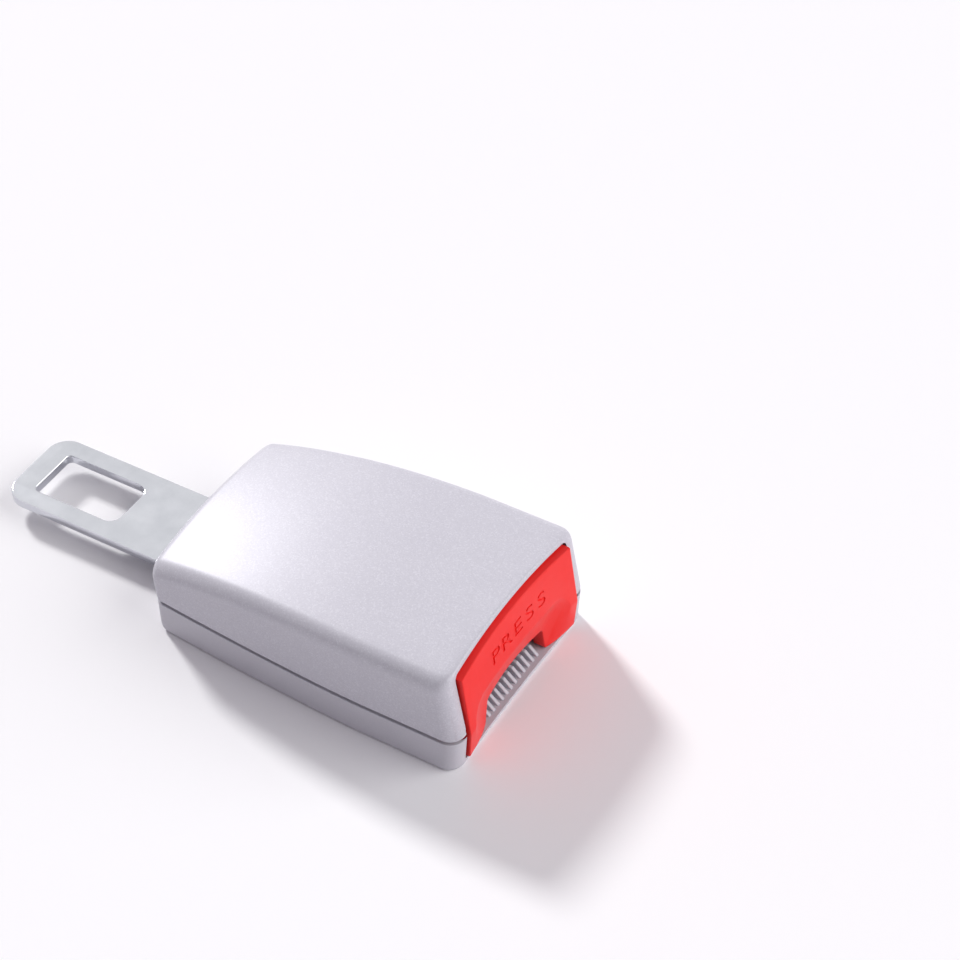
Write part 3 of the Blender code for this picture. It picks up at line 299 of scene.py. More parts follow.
def addPrism(bm, outline, axis, low, high):
    ends = [[bm.verts.new(onAxis(axis, a, b, h)) for a, b in outline] for h in (low, high)]
    bm.faces.new(ends[0])
    bm.faces.new(ends[1])
    for i in range(len(outline)):
        j = (i + 1) % len(outline)
        bm.faces.new((ends[0][i], ends[0][j], ends[1][j], ends[1][i]))


def addBox(bm, low, high):
    (x0, y0, z0), (x1, y1, z1) = low, high
    addPrism(bm, [(x0, y0), (x1, y0), (x1, y1), (x0, y1)], "Z", z0, z1)


# Turns an outline of (radius, height) about an axis; one that starts off the axis is closed into a ring
def addTurned(bm, outline, centre, segments=32, axis="Z"):
    rows = []
    for radius, height in outline:
        count = segments if radius else 1
        row = []
        for k in range(count):
            angle = math.tau * k / segments
            point = onAxis(axis, radius * math.cos(angle), radius * math.sin(angle), height)
            row.append(bm.verts.new(Vector(centre) + Vector(point)))
        rows.append(row)
    pairs = zip(rows, rows[1:] + rows[:1]) if outline[0][0] else zip(rows, rows[1:])
    for first, second in pairs:
        for k in range(segments):
            j = (k + 1) % segments
            corners = [first[k % len(first)], first[j % len(first)]]
            corners += [second[j % len(second)], second[k % len(second)]]
            bm.faces.new(list(dict.fromkeys(corners)))


def startTree(name, inputs):
    tree = bpy.data.node_groups.new(name, "GeometryNodeTree")
    tree.interface.new_socket("Geometry", in_out="OUTPUT", socket_type="NodeSocketGeometry")
    for label, kind in inputs.items():
        tree.interface.new_socket(label, in_out="INPUT", socket_type=kind)
    return tree, addNode(tree, "NodeGroupInput"), addNode(tree, "NodeGroupOutput")


# The end of every tree: real geometry with the material that the tree is given
def endTree(tree, start, end, geometry):
    real = addNode(tree, "GeometryNodeRealizeInstances", links={"Geometry": geometry})
    paint = addNode(tree, "GeometryNodeSetMaterial", links={
        "Geometry": real.outputs[0], "Material": start.outputs["Material"]})
    tree.links.new(paint.outputs[0], end.inputs["Geometry"])
    return tree


# Runs a node tree with its named inputs and keeps the result as a plain mesh
def runTree(item, tree, inputs, sharpAngle=smoothAngle):
    modifier = item.modifiers.new(tree.name, "NODES")
    modifier.node_group = tree
    for socket in tree.interface.items_tree:
        if socket.in_out == "INPUT" and socket.name in inputs:
            modifier[socket.identifier] = inputs[socket.name]
    settle(item)
    shadeByAngle(item.data, sharpAngle)
    return item


# Puts a copy of one piece on every point of the object that carries the tree
def makeCopiesTree():
    tree, start, end = startTree("copiesOnPoints", {
        "Geometry": "NodeSocketGeometry", "Piece": "NodeSocketObject", "Material": "NodeSocketMaterial"})
    source = addNode(tree, "GeometryNodeObjectInfo", {"transform_space": "ORIGINAL"},
                     links={"Object": start.outputs["Piece"]})
    copies = addNode(tree, "GeometryNodeInstanceOnPoints", links={
        "Points": start.outputs["Geometry"], "Instance": source.outputs["Geometry"]})
    return endTree(tree, start, end, copies.outputs[0])


copiesTree = makeCopiesTree()


# A piece drawn at the middle of the casing is repeated at each place
def copyTo(name, piece, places, slotName):
    mesh = bpy.data.meshes.new(name)
    mesh.from_pydata([Vector(place) * 0.001 for place in places], [], [])
    item = linkObject(name, mesh)
    runTree(item, copiesTree, {"Piece": piece, "Material": materials[slotName]})
    dropObject(piece)
    return item


def halfWidth(x):
    c = casing
    parallelFrom = frontX - c["parallel"]
    share = max(0.0, parallelFrom - x) / (parallelFrom - backX)
    return (c["frontWidth"] - (c["frontWidth"] - c["backWidth"]) * share ** c["sideCurve"]) / 2


def crownHeight(x):
    levelFrom = frontX / 2
    share = max(0.0, levelFrom - x) / (levelFrom - backX)
    return casing["crown"] - casing["backDrop"] * share ** casing["dropCurve"]


# How far a rounded corner pulls a side in, at a distance from its end
def cornerInset(distance, radius):
    if distance >= radius:
        return 0.0
    return radius - math.sqrt(max(radius ** 2 - (radius - distance) ** 2, 0.0))


# How far the leaning back face and the hollow, leaning front move a point along X
def endShift(x, y, z):
    c = casing
    above = max(0.0, z - c["parting"])
    below = max(0.0, c["parting"] - z) / c["parting"]
    across = min(abs(y) / (c["frontWidth"] / 2 - c["frontCorner"]), 1.0)
    nearFront = min(max(0.0, 1 - (frontX - x) / c["frontRun"]), 1.0)
    nearBack = min(max(0.0, 1 - (x - backX) / c["backRun"]), 1.0)
    front = c["rimLean"] * above / (c["crown"] - c["parting"]) + c["trayLean"] * below
    front += c["rimHollow"] * (1 - across ** 2)
    back = c["backLean"] * above / (c["crown"] - c["backDrop"] - c["parting"])
    return -nearFront * front - nearBack * back


def shifted(place, points):
    return [Vector((place + endShift(place, y, z), y, z)) for y, z in points]


def stations(middleSteps=24, cornerSteps=12):
    quarter = [math.pi / 2 * k / cornerSteps for k in range(cornerSteps + 1)]
    back = [backX + casing["backCorner"] * (1 - math.cos(a)) for a in quarter]
    front = [frontX - casing["frontCorner"] * (1 - math.sin(a)) for a in quarter]
    middle = [back[-1] + (front[0] - back[-1]) * k / middleSteps for k in range(1, middleSteps)]
    return back + middle + front


# The place, half width, pull of the back corner and wall of a skin that lies some depth inside
def skinAt(x, depth):
    backPull = cornerInset(x - backX, casing["backCorner"]) * (1 - depth / casing["backCorner"])
    frontPull = cornerInset(frontX - x, casing["frontCorner"])
    wall = depth + (casing["rimWall"] - depth) * frontPull / casing["frontCorner"] if depth else 0.0
    half = halfWidth(x) - backPull - frontPull - wall
    return x + depth * (frontX - x) / casing["length"], half, backPull, wall


def mirrored(points):
    return points + [(-y, z) for y, z in reversed(points[:-1])]


def coverSkin(x, depth):
    place, half, backPull, wall = skinAt(x, depth)
    radius = casing["innerRadius"] if depth else casing["topRadius"]
    top = crownHeight(place) - backPull - wall
    if depth == 0:
        top -= cornerInset(frontX - x, casing["topEdge"])
    first, last = (math.radians(a) for a in casing["shoulder"])
    centreY = half - casing["sideLean"] - radius * math.cos(first)
    centreZ = top - casing["topBow"] - radius * math.sin(last)
    edgeY = centreY + radius * math.cos(last)
    edge = casing["partingEdge"]
    points = [] if depth else [(half - edge, upperFoot)]
    points.append((half, upperFoot + (casing["lipRise"] if depth else edge)))
    for k in range(13):
        angle = first + (last - first) * k / 12
        points.append((centreY + radius * math.cos(angle), centreZ + radius * math.sin(angle)))
    for k in range(1, 15):
        share = 1 - k / 14
        points.append((edgeY * share, top - casing["topBow"] * share ** 2))
    return shifted(place, mirrored(points))


def traySkin(x, depth):
    place, half, backPull, wall = skinAt(x, depth)
    bottom = casing["floor"] if depth else backPull
    radius = max(casing["bottomRadius"] - wall, 0.6)
    edge = casing["partingEdge"]
    points = [(half, lowerTop)] if depth else [(half - edge, lowerTop), (half, lowerTop - edge)]
    for k in range(7):
        angle = math.pi / 2 * k / 6
        points.append((half - radius + radius * math.cos(angle), bottom + radius - radius * math.sin(angle)))
    for share in (0.8, 0.6, 0.4, 0.2, 0.0):
        points.append(((half - radius) * share, bottom))
    return shifted(place, mirrored(points))


# A wall between an outer and an inner stack of open rings, with a stepped foot if extra rings are given
def addWall(bm, outer, inner, steps=()):
    rows = {}
    for name, rings in (("outer", outer), ("inner", inner)):
        rows[name] = [[bm.verts.new(p) for p in ring] for ring in rings]
        for first, second in zip(rows[name], rows[name][1:]):
            for i in range(len(first) - 1):
                bm.faces.new((first[i], first[i + 1], second[i + 1], second[i]))
        bm.faces.new(rows[name][0])
    feet = []
    for end in (0, -1):
        lines = [[row[end] for row in rows["outer"]]]
        for step in steps:
            lines.append([bm.verts.new(points[end]) for points in step])
        lines.append([row[end] for row in rows["inner"]])
        feet.append(lines)
        for line, nextLine in zip(lines, lines[1:]):
            for k in range(len(line) - 1):
                bm.faces.new((line[k], line[k + 1], nextLine[k + 1], nextLine[k]))
    for level in range(len(feet[0]) - 1):
        right, left = feet[0], feet[1]
        bm.faces.new((right[level][0], left[level][0], left[level + 1][0], right[level + 1][0]))
    outerEnd, innerEnd = rows["outer"][-1], rows["inner"][-1]
    spare = len(outerEnd) - len(innerEnd)
    outerRim = outerEnd[spare // 2:len(outerEnd) - spare // 2]
    for i in range(len(innerEnd) - 1):
        bm.faces.new((outerRim[i], outerRim[i + 1], innerEnd[i + 1], innerEnd[i]))
    for end, side in ((0, 0), (-1, 1)):
        corner = [outerEnd[0], outerRim[0]] if end == 0 else [outerEnd[-1], outerRim[-1]]
        corner.append(innerEnd[end])
        corner += [lines[-1] for lines in reversed(feet[side][1:-1])]
        corner = list(dict.fromkeys(corner))
        if len(corner) > 2:
            bm.faces.new(corner)


# Plan of a strip that follows the sides and the back, between two depths in the wall
def wallBand(outer, inner, frontEnd, chamfer=1.2, steps=30):
    def around(depth):
        back = backX + depth
        right = []
        for k in range(steps + 1):
            x = frontEnd + (back + chamfer - frontEnd) * k / steps
            right.append((x, halfWidth(x) - depth))
        right.append((back, halfWidth(back) - depth - chamfer))
        return right + [(x, -y) for x, y in reversed(right)]

    return around(outer) + list(reversed(around(inner)))


screws = {
    "places": ((14.0, 21.3), (-28.0, 18.6)), "bossRadius": 2.7, "postRadius": 3.0, "shank": 1.0, "core": 0.85,
    "head": 2.1, "headHeight": 1.3, "headCrown": 0.7, "length": 12.0, "point": 1.4, "recess": 2.2, "gap": 0.3,
    "clearance": 0.25, "pitch": 0.9, "ridge": 0.15, "threadStart": 0.8, "threadShort": 2.4,
    "crossWidth": 0.55, "crossDepth": 0.8, "crossReach": 1.35, "crossStart": 1.0,
}
screwPlaces = [(x, side * y) for x, y in screws["places"] for side in (-1, 1)]
tongue = {
    "width": 21.5, "thickness": 2.4, "reach": 50.5, "root": 22.3, "tipRadius": 5.0, "bottom": 3.4,
    "window": (22.2, 12.9), "margin": 5.5, "windowTip": 1.2, "windowRoot": 2.8, "edge": 0.28,
    "rootCorner": 0.3, "rivetHole": 2.65, "rivetFront": 4.5, "rivetSpacing": 8.6,
}
rivetPlaces = [backX + tongue["root"] - tongue["rivetFront"] - tongue["rivetSpacing"] * k for k in (0, 1)]


# Bosses for the screws, each with a rib to the wall, and the tab over the tongue
coverInside = {
    "headroom": 2.0, "rib": 0.6, "ribSink": 0.6, "ribStart": 0.35, "ribDrop": 0.4, "seat": 0.3,
    "tabRise": 2.0, "edge": 0.15, "lapShare": 0.8,
}


def makeCover():
    places = stations()
    c, s = coverInside, screws
    outer = [coverSkin(x, 0.0) for x in places]
    inner = [coverSkin(x, casing["wall"]) for x in places]
    lows, highs = [], []
    for x in places:
        half, _, wall = skinAt(x, casing["wall"])[1:]
        depth = min(casing["lapWall"], wall * c["lapShare"])
        y = half + wall - depth
        back = x + casing["lapWall"] * (frontX - x) / casing["length"]
        lap = upperFoot + casing["lipRise"]
        lows.append(shifted(back, [(y, upperFoot), (-y, upperFoot)]))
        highs.append(shifted(back, [(y, lap), (-y, lap)]))
    bm = bmesh.new()
    addWall(bm, outer, inner, (lows, highs))
    cover = meshToObject("silverCover", bm, "painted_cover")
    bm = bmesh.new()
    for x, y in screwPlaces:
        side = math.copysign(1, y)
        top = crownHeight(x) - casing["topBow"] - casing["topRadius"] - c["headroom"]
        foot = lowerTop + s["gap"]
        hole = s["shank"] + s["clearance"]
        addTurned(bm, [(hole, foot), (s["bossRadius"], foot), (s["bossRadius"], top), (hole, top)], (x, y, 0))
        reach = side * (halfWidth(x) - casing["wall"] - casing["sideLean"] + c["ribSink"])
        near = side * (abs(y) + hole + c["ribStart"])
        low, high = sorted((near, reach))
        ribFoot = upperFoot + casing["lipRise"] + c["seat"]
        addBox(bm, (x - c["rib"], low, ribFoot), (x + c["rib"], high, top - c["ribDrop"]))
    half = tongue["width"] / 2
    tabFoot = tongue["bottom"] + tongue["thickness"] + c["seat"]
    tabTop = upperFoot + c["tabRise"]
    addBox(bm, (backX + c["seat"], -half, tabFoot), (backX + casing["wall"] / 2, half, tabTop))
    inside = roundEdges(meshToObject("coverInside", bm, "painted_cover"), c["edge"])
    return joinInto(cover, [inside])


# Rails under the button's arms, stops for their barbs, posts behind their springs and studs for the frame
trayInside = {
    "rail": (15.3, 17.5), "railX": (-0.7, 28.4), "railTop": 4.3,
    "stop": 18.2, "stopInset": 1.4, "stopX": (-0.7, 1.3), "spring": (14.5, 18.6), "springX": (-19.0, -16.6),
    "stud": (28.85, 7.5), "studRadius": 1.3, "studTop": 2.8,
    "seat": 0.3, "openingDepth": 1.5, "openingTop": 12.0, "recessTop": 3.0, "lipSink": 0.2, "sink": 0.02,
    "edge": 0.12, "overcut": 1.0,
}


def makeTray():
    places = stations()
    c, s = trayInside, screws
    bm = bmesh.new()
    addWall(bm, [traySkin(x, 0.0) for x in places], [traySkin(x, casing["wall"]) for x in places])
    tray = meshToObject("greyTray", bm, "tray_plastic")
    bm = bmesh.new()
    half = tongue["width"] / 2 + c["seat"]
    addBox(bm, (backX - c["overcut"], -half, tongue["bottom"] - c["seat"]),
           (backX + casing["wall"] + c["openingDepth"], half, c["openingTop"]))
    head, shank = s["head"] + s["gap"], s["shank"] + s["clearance"]
    below, above = -c["overcut"], c["recessTop"]
    for x, y in screwPlaces:
        addTurned(bm, [(0, below), (head, below), (head, s["recess"]), (shank, s["recess"]), (shank, above),
                       (0, above)], (x, y, 0))
    cutWith(tray, meshToObject("trayCutter", bm, "tray_plastic"))

    bm = bmesh.new()
    lipTop = upperFoot + casing["lipRise"] - c["seat"]
    lipEnd = frontX - casing["frontCorner"] - casing["lapSetback"] - c["seat"]
    lip = wallBand(casing["lipWall"], casing["wall"] + c["lipSink"], lipEnd)
    addPrism(bm, lip, "Z", casing["parting"] / 2, lipTop)
    foot = casing["floor"] - c["sink"]
    for x, y in screwPlaces:
        post = [(head, foot), (s["postRadius"], foot), (s["postRadius"], lowerTop), (shank, lowerTop),
                (shank, s["recess"]), (head, s["recess"])]
        addTurned(bm, post, (x, y, 0))
    stop = (c["stop"], halfWidth(0) - c["stopInset"])
    stud = [(0, foot), (c["studRadius"], foot), (c["studRadius"], c["studTop"]), (0, c["studTop"])]
    for side in (-1, 1):
        for across, along, top in ((c["rail"], c["railX"], c["railTop"]), (stop, c["stopX"], lowerTop),
                                   (c["spring"], c["springX"], lowerTop)):
            low, high = sorted(side * y for y in across)
            addBox(bm, (along[0], low, foot), (along[1], high, top))
        addTurned(bm, stud, (c["stud"][0], side * c["stud"][1], 0))
    inside = roundEdges(meshToObject("trayInside", bm, "tray_plastic"), c["edge"])
    return joinInto(tray, [inside])


mouth = {
    "ribs": 12, "pitch": 1.75, "ribWidth": 0.85, "foot": 36.35, "run": 2.0, "depth": 1.6, "ribTop": 3.1,
    "ribEdge": 0.2, "ribFoot": 0.8, "ribToe": 1.1, "halfWidth": 10.9, "top": 8.1, "draft": 1.1, "corner": 1.2,
}


# The comb: ribs with a ramped nose, side by side across the mouth's floor
def makeComb():
    m = mouth
    back = m["foot"] - m["run"] - m["depth"]
    outline = [(back, m["ribFoot"]), (m["foot"], m["ribFoot"]), (m["foot"], m["ribToe"]),
               (m["foot"] - m["run"], m["ribTop"]), (back, m["ribTop"])]
    bm = bmesh.new()
    addPrism(bm, outline, "Y", -m["ribWidth"] / 2, m["ribWidth"] / 2)
    rib = roundEdges(meshToObject("combRib", bm, "tray_plastic"), m["ribEdge"], segments=3)
    first = -(m["ribs"] - 1) / 2 * m["pitch"]
    places = [(0, first + k * m["pitch"], 0) for k in range(m["ribs"])]
    return copyTo("mouthComb", rib, places, "tray_plastic")


def roundedCorners(corners, steps=8):
    points = []
    for index, (x, y, radius) in enumerate(corners):
        here = Vector((x, y))
        before = (Vector(corners[index - 1][:2]) - here).normalized()
        after = (Vector(corners[(index + 1) % len(corners)][:2]) - here).normalized()
        for k in range(steps + 1):
            angle = math.pi / 2 * k / steps
            along = radius * (1 - math.sin(angle))
            across = radius * (1 - math.cos(angle))
            points.append(tuple(here + before * along + after * across))
    return points


# A punched plate: a flat filled curve with rolled edges, made a mesh before it is placed
def makePlate(name, outlines, low, high, edge, slotName):
    curve = bpy.data.curves.new(name, "CURVE")
    curve.dimensions = "2D"
    curve.fill_mode = "BOTH"
    curve.extrude = (high - low) / 2 - edge
    curve.bevel_depth = edge
    curve.bevel_resolution = 4
    curve.offset = -edge
    for outline in outlines:
        spline = curve.splines.new("POLY")
        spline.points.add(len(outline) - 1)
        for point, (x, y) in zip(spline.points, outline):
            point.co = (x, y, 0.0, 1.0)
        spline.use_cyclic_u = True
    item = linkObject(name, curve)
    graph = bpy.context.evaluated_depsgraph_get()
    flat = bpy.data.meshes.new_from_object(item.evaluated_get(graph))
    dropObject(item)
    bm = bmesh.new()
    bm.from_mesh(flat)
    bmesh.ops.remove_doubles(bm, verts=bm.verts, dist=0.0005)
    bmesh.ops.translate(bm, verts=bm.verts, vec=(0, 0, (low + high) / 2))
    return meshToObject(name, bm, slotName, 25)


def makeTongue():
    t = tongue
    half = t["width"] / 2
    tip = backX - t["reach"]
    root = backX + t["root"]
    near = tip + t["margin"]
    far = near + t["window"][0]
    reach = t["window"][1] / 2
    plate = roundedCorners([(root, -half, t["rootCorner"]), (root, half, t["rootCorner"]),
                            (tip, half, t["tipRadius"]), (tip, -half, t["tipRadius"])], 12)
    window = roundedCorners([(near, -reach, t["windowTip"]), (near, reach, t["windowTip"]),
                             (far, reach, t["windowRoot"]), (far, -reach, t["windowRoot"])])
    outlines = [plate, window]
    for x in rivetPlaces:
        outlines.append([(x + t["rivetHole"] * math.cos(math.tau * k / 32),
                          t["rivetHole"] * math.sin(math.tau * k / 32)) for k in range(32)])
    top = t["bottom"] + t["thickness"]
    return makePlate("beltTongue", outlines, t["bottom"], top, t["edge"], "chromed_steel")


button = {
    "ridgeX": frontX + 0.65, "hollow": 1.2, "ridgeZ": 8.6, "faceTop": 23.4, "faceCrown": 0.7, "faceLean": 1.7,
    "depth": 5.3, "ceiling": 24.5, "halfWidth": 21.45, "archTop": 13.8, "archOuter": 18.9, "funnel": 2.1,
    "funnelSide": 1.7, "legInset": 0.75, "legDraft": 0.3, "legZ": 1.3, "bulge": 0.25,
    "ridgeCut": 0.5, "topCut": 0.32, "footCut": 0.22, "sideRound": 0.25, "archBlur": 0.35,
}
lettering = {
    "word": "PRESS", "height": 3.4, "widen": 1.45, "pitch": 4.42, "middle": (1.1, 18.3), "depth": 0.3,
}
arms = {
    "inner": 14.9, "outer": 17.9, "bottom": 4.6, "top": 7.5, "back": -4.0, "root": 0.4, "gusset": 3.0,
    "slope": 4.5, "ears": ((10.79, 10.32), (7.6, 5.0), (7.5, 4.4)), "edge": 0.25,
    "barbX": (0.4, 3.0), "barbY": (17.4, 19.6, 18.3), "barbInset": 0.3,
    "pegRadius": 1.1, "pegLength": 3.0, "pegSink": 0.3, "peg": (16.4, 6.05),
}


# X of the button's hollow front, some depth behind its ridge
def bowed(y, depth):
    return button["ridgeX"] - depth - button["hollow"] * (1 - (y / button["halfWidth"]) ** 2)


def faceDepth(z):
    return button["faceLean"] * (z - button["ridgeZ"]) / (button["faceTop"] - button["ridgeZ"])


# The funnel's rounded edge on the face: level in the middle, an arc down, then level on the leg.
# Steps run from 0 at the cap's side over 1 at the leg's inner edge and 6 at the arc's end to 9 in the middle.
def archPoint(step):
    b = button
    radius = b["archTop"] - b["ridgeZ"]
    if step < 1:
        return Vector((b["halfWidth"] + (b["archOuter"] - b["halfWidth"]) * step, b["ridgeZ"]))
    if step < 6:
        angle = math.pi / 2 * (step - 1) / 5
        y = b["archOuter"] - radius * (1 - math.cos(angle))
        return Vector((y, b["ridgeZ"] + radius * math.sin(angle)))
    return Vector(((b["archOuter"] - radius) * (9 - step) / 3, b["archTop"]))


# The leg's foot, then the mouth's side, corner and top edge, at the same steps as the arch
def footPoint(step):
    b, m = button, mouth
    slot = m["halfWidth"]
    leg = Vector((bowed(b["archOuter"], b["legInset"]), b["archOuter"], b["legZ"]))
    outer = Vector((bowed(b["halfWidth"], b["legInset"]), b["halfWidth"] - b["legDraft"], b["legZ"]))
    edge, middle = bowed(slot, b["funnelSide"]), bowed(0.0, b["funnel"])
    inner = Vector((edge, slot + m["draft"], b["legZ"]))
    if step < 1:
        return outer.lerp(leg, step)
    if step < 3:
        share = (step - 1) / 2
        return leg.lerp(inner, share) + Vector((b["bulge"] * 4 * share * (1 - share), 0, 0))
    angle = math.radians(30 * (min(step, 7) - 4))
    if step < 4:
        side = footPoint(4)
        return inner.lerp(side, step - 3)
    z = m["top"] - m["corner"] * (1 - math.sin(angle))
    spread = m["draft"] * (m["top"] - z) / (m["top"] - b["legZ"])
    y = slot + spread - m["corner"] * (1 - math.cos(angle))
    if step <= 7:
        return Vector((edge, y, z))
    share = (9 - step) / 2
    return Vector((middle + (edge - middle) * share ** 2, y * share, m["top"]))


# Replaces each inner corner of a line of points by a small arc
def softenCorners(points, cuts, steps=4):
    line = [points[0]]
    for index in range(1, len(points) - 1):
        here, cut = points[index], cuts.get(index, 0.0)
        if not cut:
            line.append(here)
            continue
        start = here + (points[index - 1] - here).normalized() * cut
        stop = here + (points[index + 1] - here).normalized() * cut
        for k in range(steps + 1):
            t = k / steps
            line.append(start.lerp(here, t).lerp(here.lerp(stop, t), t))
    return line + [points[-1]]


# One column of the button's front, from its rear foot over the face to its rear top
def buttonProfile(step, side, sideCut):
    b = button
    blur = min(b["archBlur"], step, 9 - step)
    arch = (archPoint(step - blur) + archPoint(step) * 2 + archPoint(step + blur)) / 4
    foot = footPoint(step)
    share = arch.x / b["halfWidth"]
    topY = share * (b["halfWidth"] - casing["sideLean"])
    topZ = b["faceTop"] + b["faceCrown"] * (1 - share ** 2)
    ridge = Vector((bowed(arch.x, faceDepth(arch.y)), arch.x, arch.y))
    top = Vector((bowed(arch.x, faceDepth(topZ)), topY, topZ))
    rear = b["ridgeX"] - b["depth"]
    behind = Vector((rear, topY, b["ceiling"] - (b["ceiling"] - b["faceTop"]) * share ** 2))
    low = Vector((rear, foot.y, foot.z))
    depth = 0.0 if step < 1 else min((step - 1) / 2, 1.0, max(0.0, (8 - step) / 2)) * b["bulge"]
    inwards = Vector((-0.8, 0, 0.6))
    middle = [foot.lerp(ridge, t) + inwards * depth * 4 * t * (1 - t) for t in (0.2, 0.4, 0.6, 0.8)]
    line = softenCorners([low, foot] + middle + [ridge, top, behind],
                         {1: b["footCut"], 6: b["ridgeCut"], 7: b["topCut"]})
    pull = cornerInset(sideCut, b["sideRound"])
    last = len(line) - 1
    return [Vector((p.x - (pull if 0 < k < last else 0.0), side * p.y, p.z)) for k, p in enumerate(line)]


def makeButton():
    b, a = button, arms
    sideWidth = b["halfWidth"] - b["archOuter"]
    columns = [(cut / sideWidth, cut) for cut in (0.0, 0.03, 0.08, 0.16, 0.3)]
    columns += [(0.12 + 8.88 * k / 72, b["sideRound"]) for k in range(1, 73)]
    rows = [buttonProfile(step, -1, cut) for step, cut in columns]
    rows += [buttonProfile(step, 1, cut) for step, cut in reversed(columns[:-1])]
    bm = bmesh.new()
    rows = [[bm.verts.new(p) for p in row] for row in rows]
    for first, second in zip(rows, rows[1:]):
        for i in range(len(first)):
            j = (i + 1) % len(first)
            bm.faces.new((first[i], first[j], second[j], second[i]))
    bm.faces.new(rows[0])
    bm.faces.new(rows[-1])
    cap = meshToObject("redButton", bm, "red_plastic", 28)
    cutWith(cap, makeWord())

    bm = bmesh.new()
    rear = b["ridgeX"] - b["depth"]
    profile = [(a["back"], a["bottom"]), (rear + a["root"], a["bottom"]),
               (rear + a["root"], b["faceTop"] - a["gusset"]), (rear - a["slope"], a["ears"][0][0])]
    profile += [(x, z) for z, x in a["ears"]] + [(a["back"], a["top"])]
    barbBack, barbFront = (a["back"] + x for x in a["barbX"])
    root, shoulder, nose = a["barbY"]
    for side in (-1, 1):
        low, high = sorted((side * a["inner"], side * a["outer"]))
        addPrism(bm, profile, "Y", low, high)
        plan = [(barbBack, side * root), (barbFront, side * root), (barbFront, side * shoulder),
                (barbBack, side * nose)]
        addPrism(bm, plan, "Z", a["bottom"] + a["barbInset"], a["top"] - a["barbInset"])
    sides = roundEdges(meshToObject("buttonArms", bm, "red_plastic"), a["edge"])
    bm = bmesh.new()
    tip, seat = a["back"] - a["pegLength"], a["back"] + a["pegSink"]
    peg = [(0, tip), (a["pegRadius"], tip), (a["pegRadius"], seat), (0, seat)]
    for side in (-1, 1):
        addTurned(bm, peg, (0, side * a["peg"][0], a["peg"][1]), 20, "X")
    pegs = meshToObject("buttonPegs", bm, "red_plastic")
    return joinInto(cap, [sides, pegs], 28)


# The plain instruction on the button, as a cutter that follows the hollow face
def makeWord():
    s = lettering
    bm = bmesh.new()
    for index, letter in enumerate(s["word"]):
        words = bpy.data.curves.new("letter", "FONT")
        words.body = letter
        words.extrude = s["depth"]
        words.resolution_u = 6
        item = linkObject("letter", words)
        graph = bpy.context.evaluated_depsgraph_get()
        flat = bpy.data.meshes.new_from_object(item.evaluated_get(graph))
        dropObject(item)
        tall = max(v.co.y for v in flat.vertices) - min(v.co.y for v in flat.vertices)
        middle = (max(v.co.x for v in flat.vertices) + min(v.co.x for v in flat.vertices)) / 2
        low = min(v.co.y for v in flat.vertices)
        scale = s["height"] / tall
        offset = s["middle"][0] + (index - (len(s["word"]) - 1) / 2) * s["pitch"]
        for v in flat.vertices:
            y = offset + (v.co.x - middle) * scale * s["widen"]
            z = s["middle"][1] + (v.co.y - low - tall / 2) * scale
            v.co = (bowed(y, faceDepth(z)) + v.co.z, y, z)
        bm.from_mesh(flat)
    bmesh.ops.remove_doubles(bm, verts=bm.verts, dist=0.001)
    return meshToObject("wordCutter", bm, "red_plastic")


# Compression springs: closed end turns lie wire on wire, and the turns between share the rest of the length
buttonSpring = {
    "wire": 0.5, "outer": 1.9, "turns": 9.5, "length": 12.0, "axis": "X", "joint": "button_press",
    "keep": 0.583,
}
springs = {
    "latch_spring": {
        "wire": 0.55, "outer": 2.5, "turns": 6.5, "length": 7.5, "start": (3.5, 0, 10.2), "axis": "Z",
        "joint": "latch_lift", "keep": 0.57,
    },
    "ejector_spring": {
        "wire": 0.55, "outer": 2.2, "turns": 12.5, "length": 21.25, "start": (-16.05, 0, 3.8), "axis": "X",
        "joint": "ejector_slide", "keep": 0.435,
    },
    "button_spring_left": dict(buttonSpring, start=(-16.3, 16.4, 6.05)),
    "button_spring_right": dict(buttonSpring, start=(-16.3, -16.4, 6.05)),
}


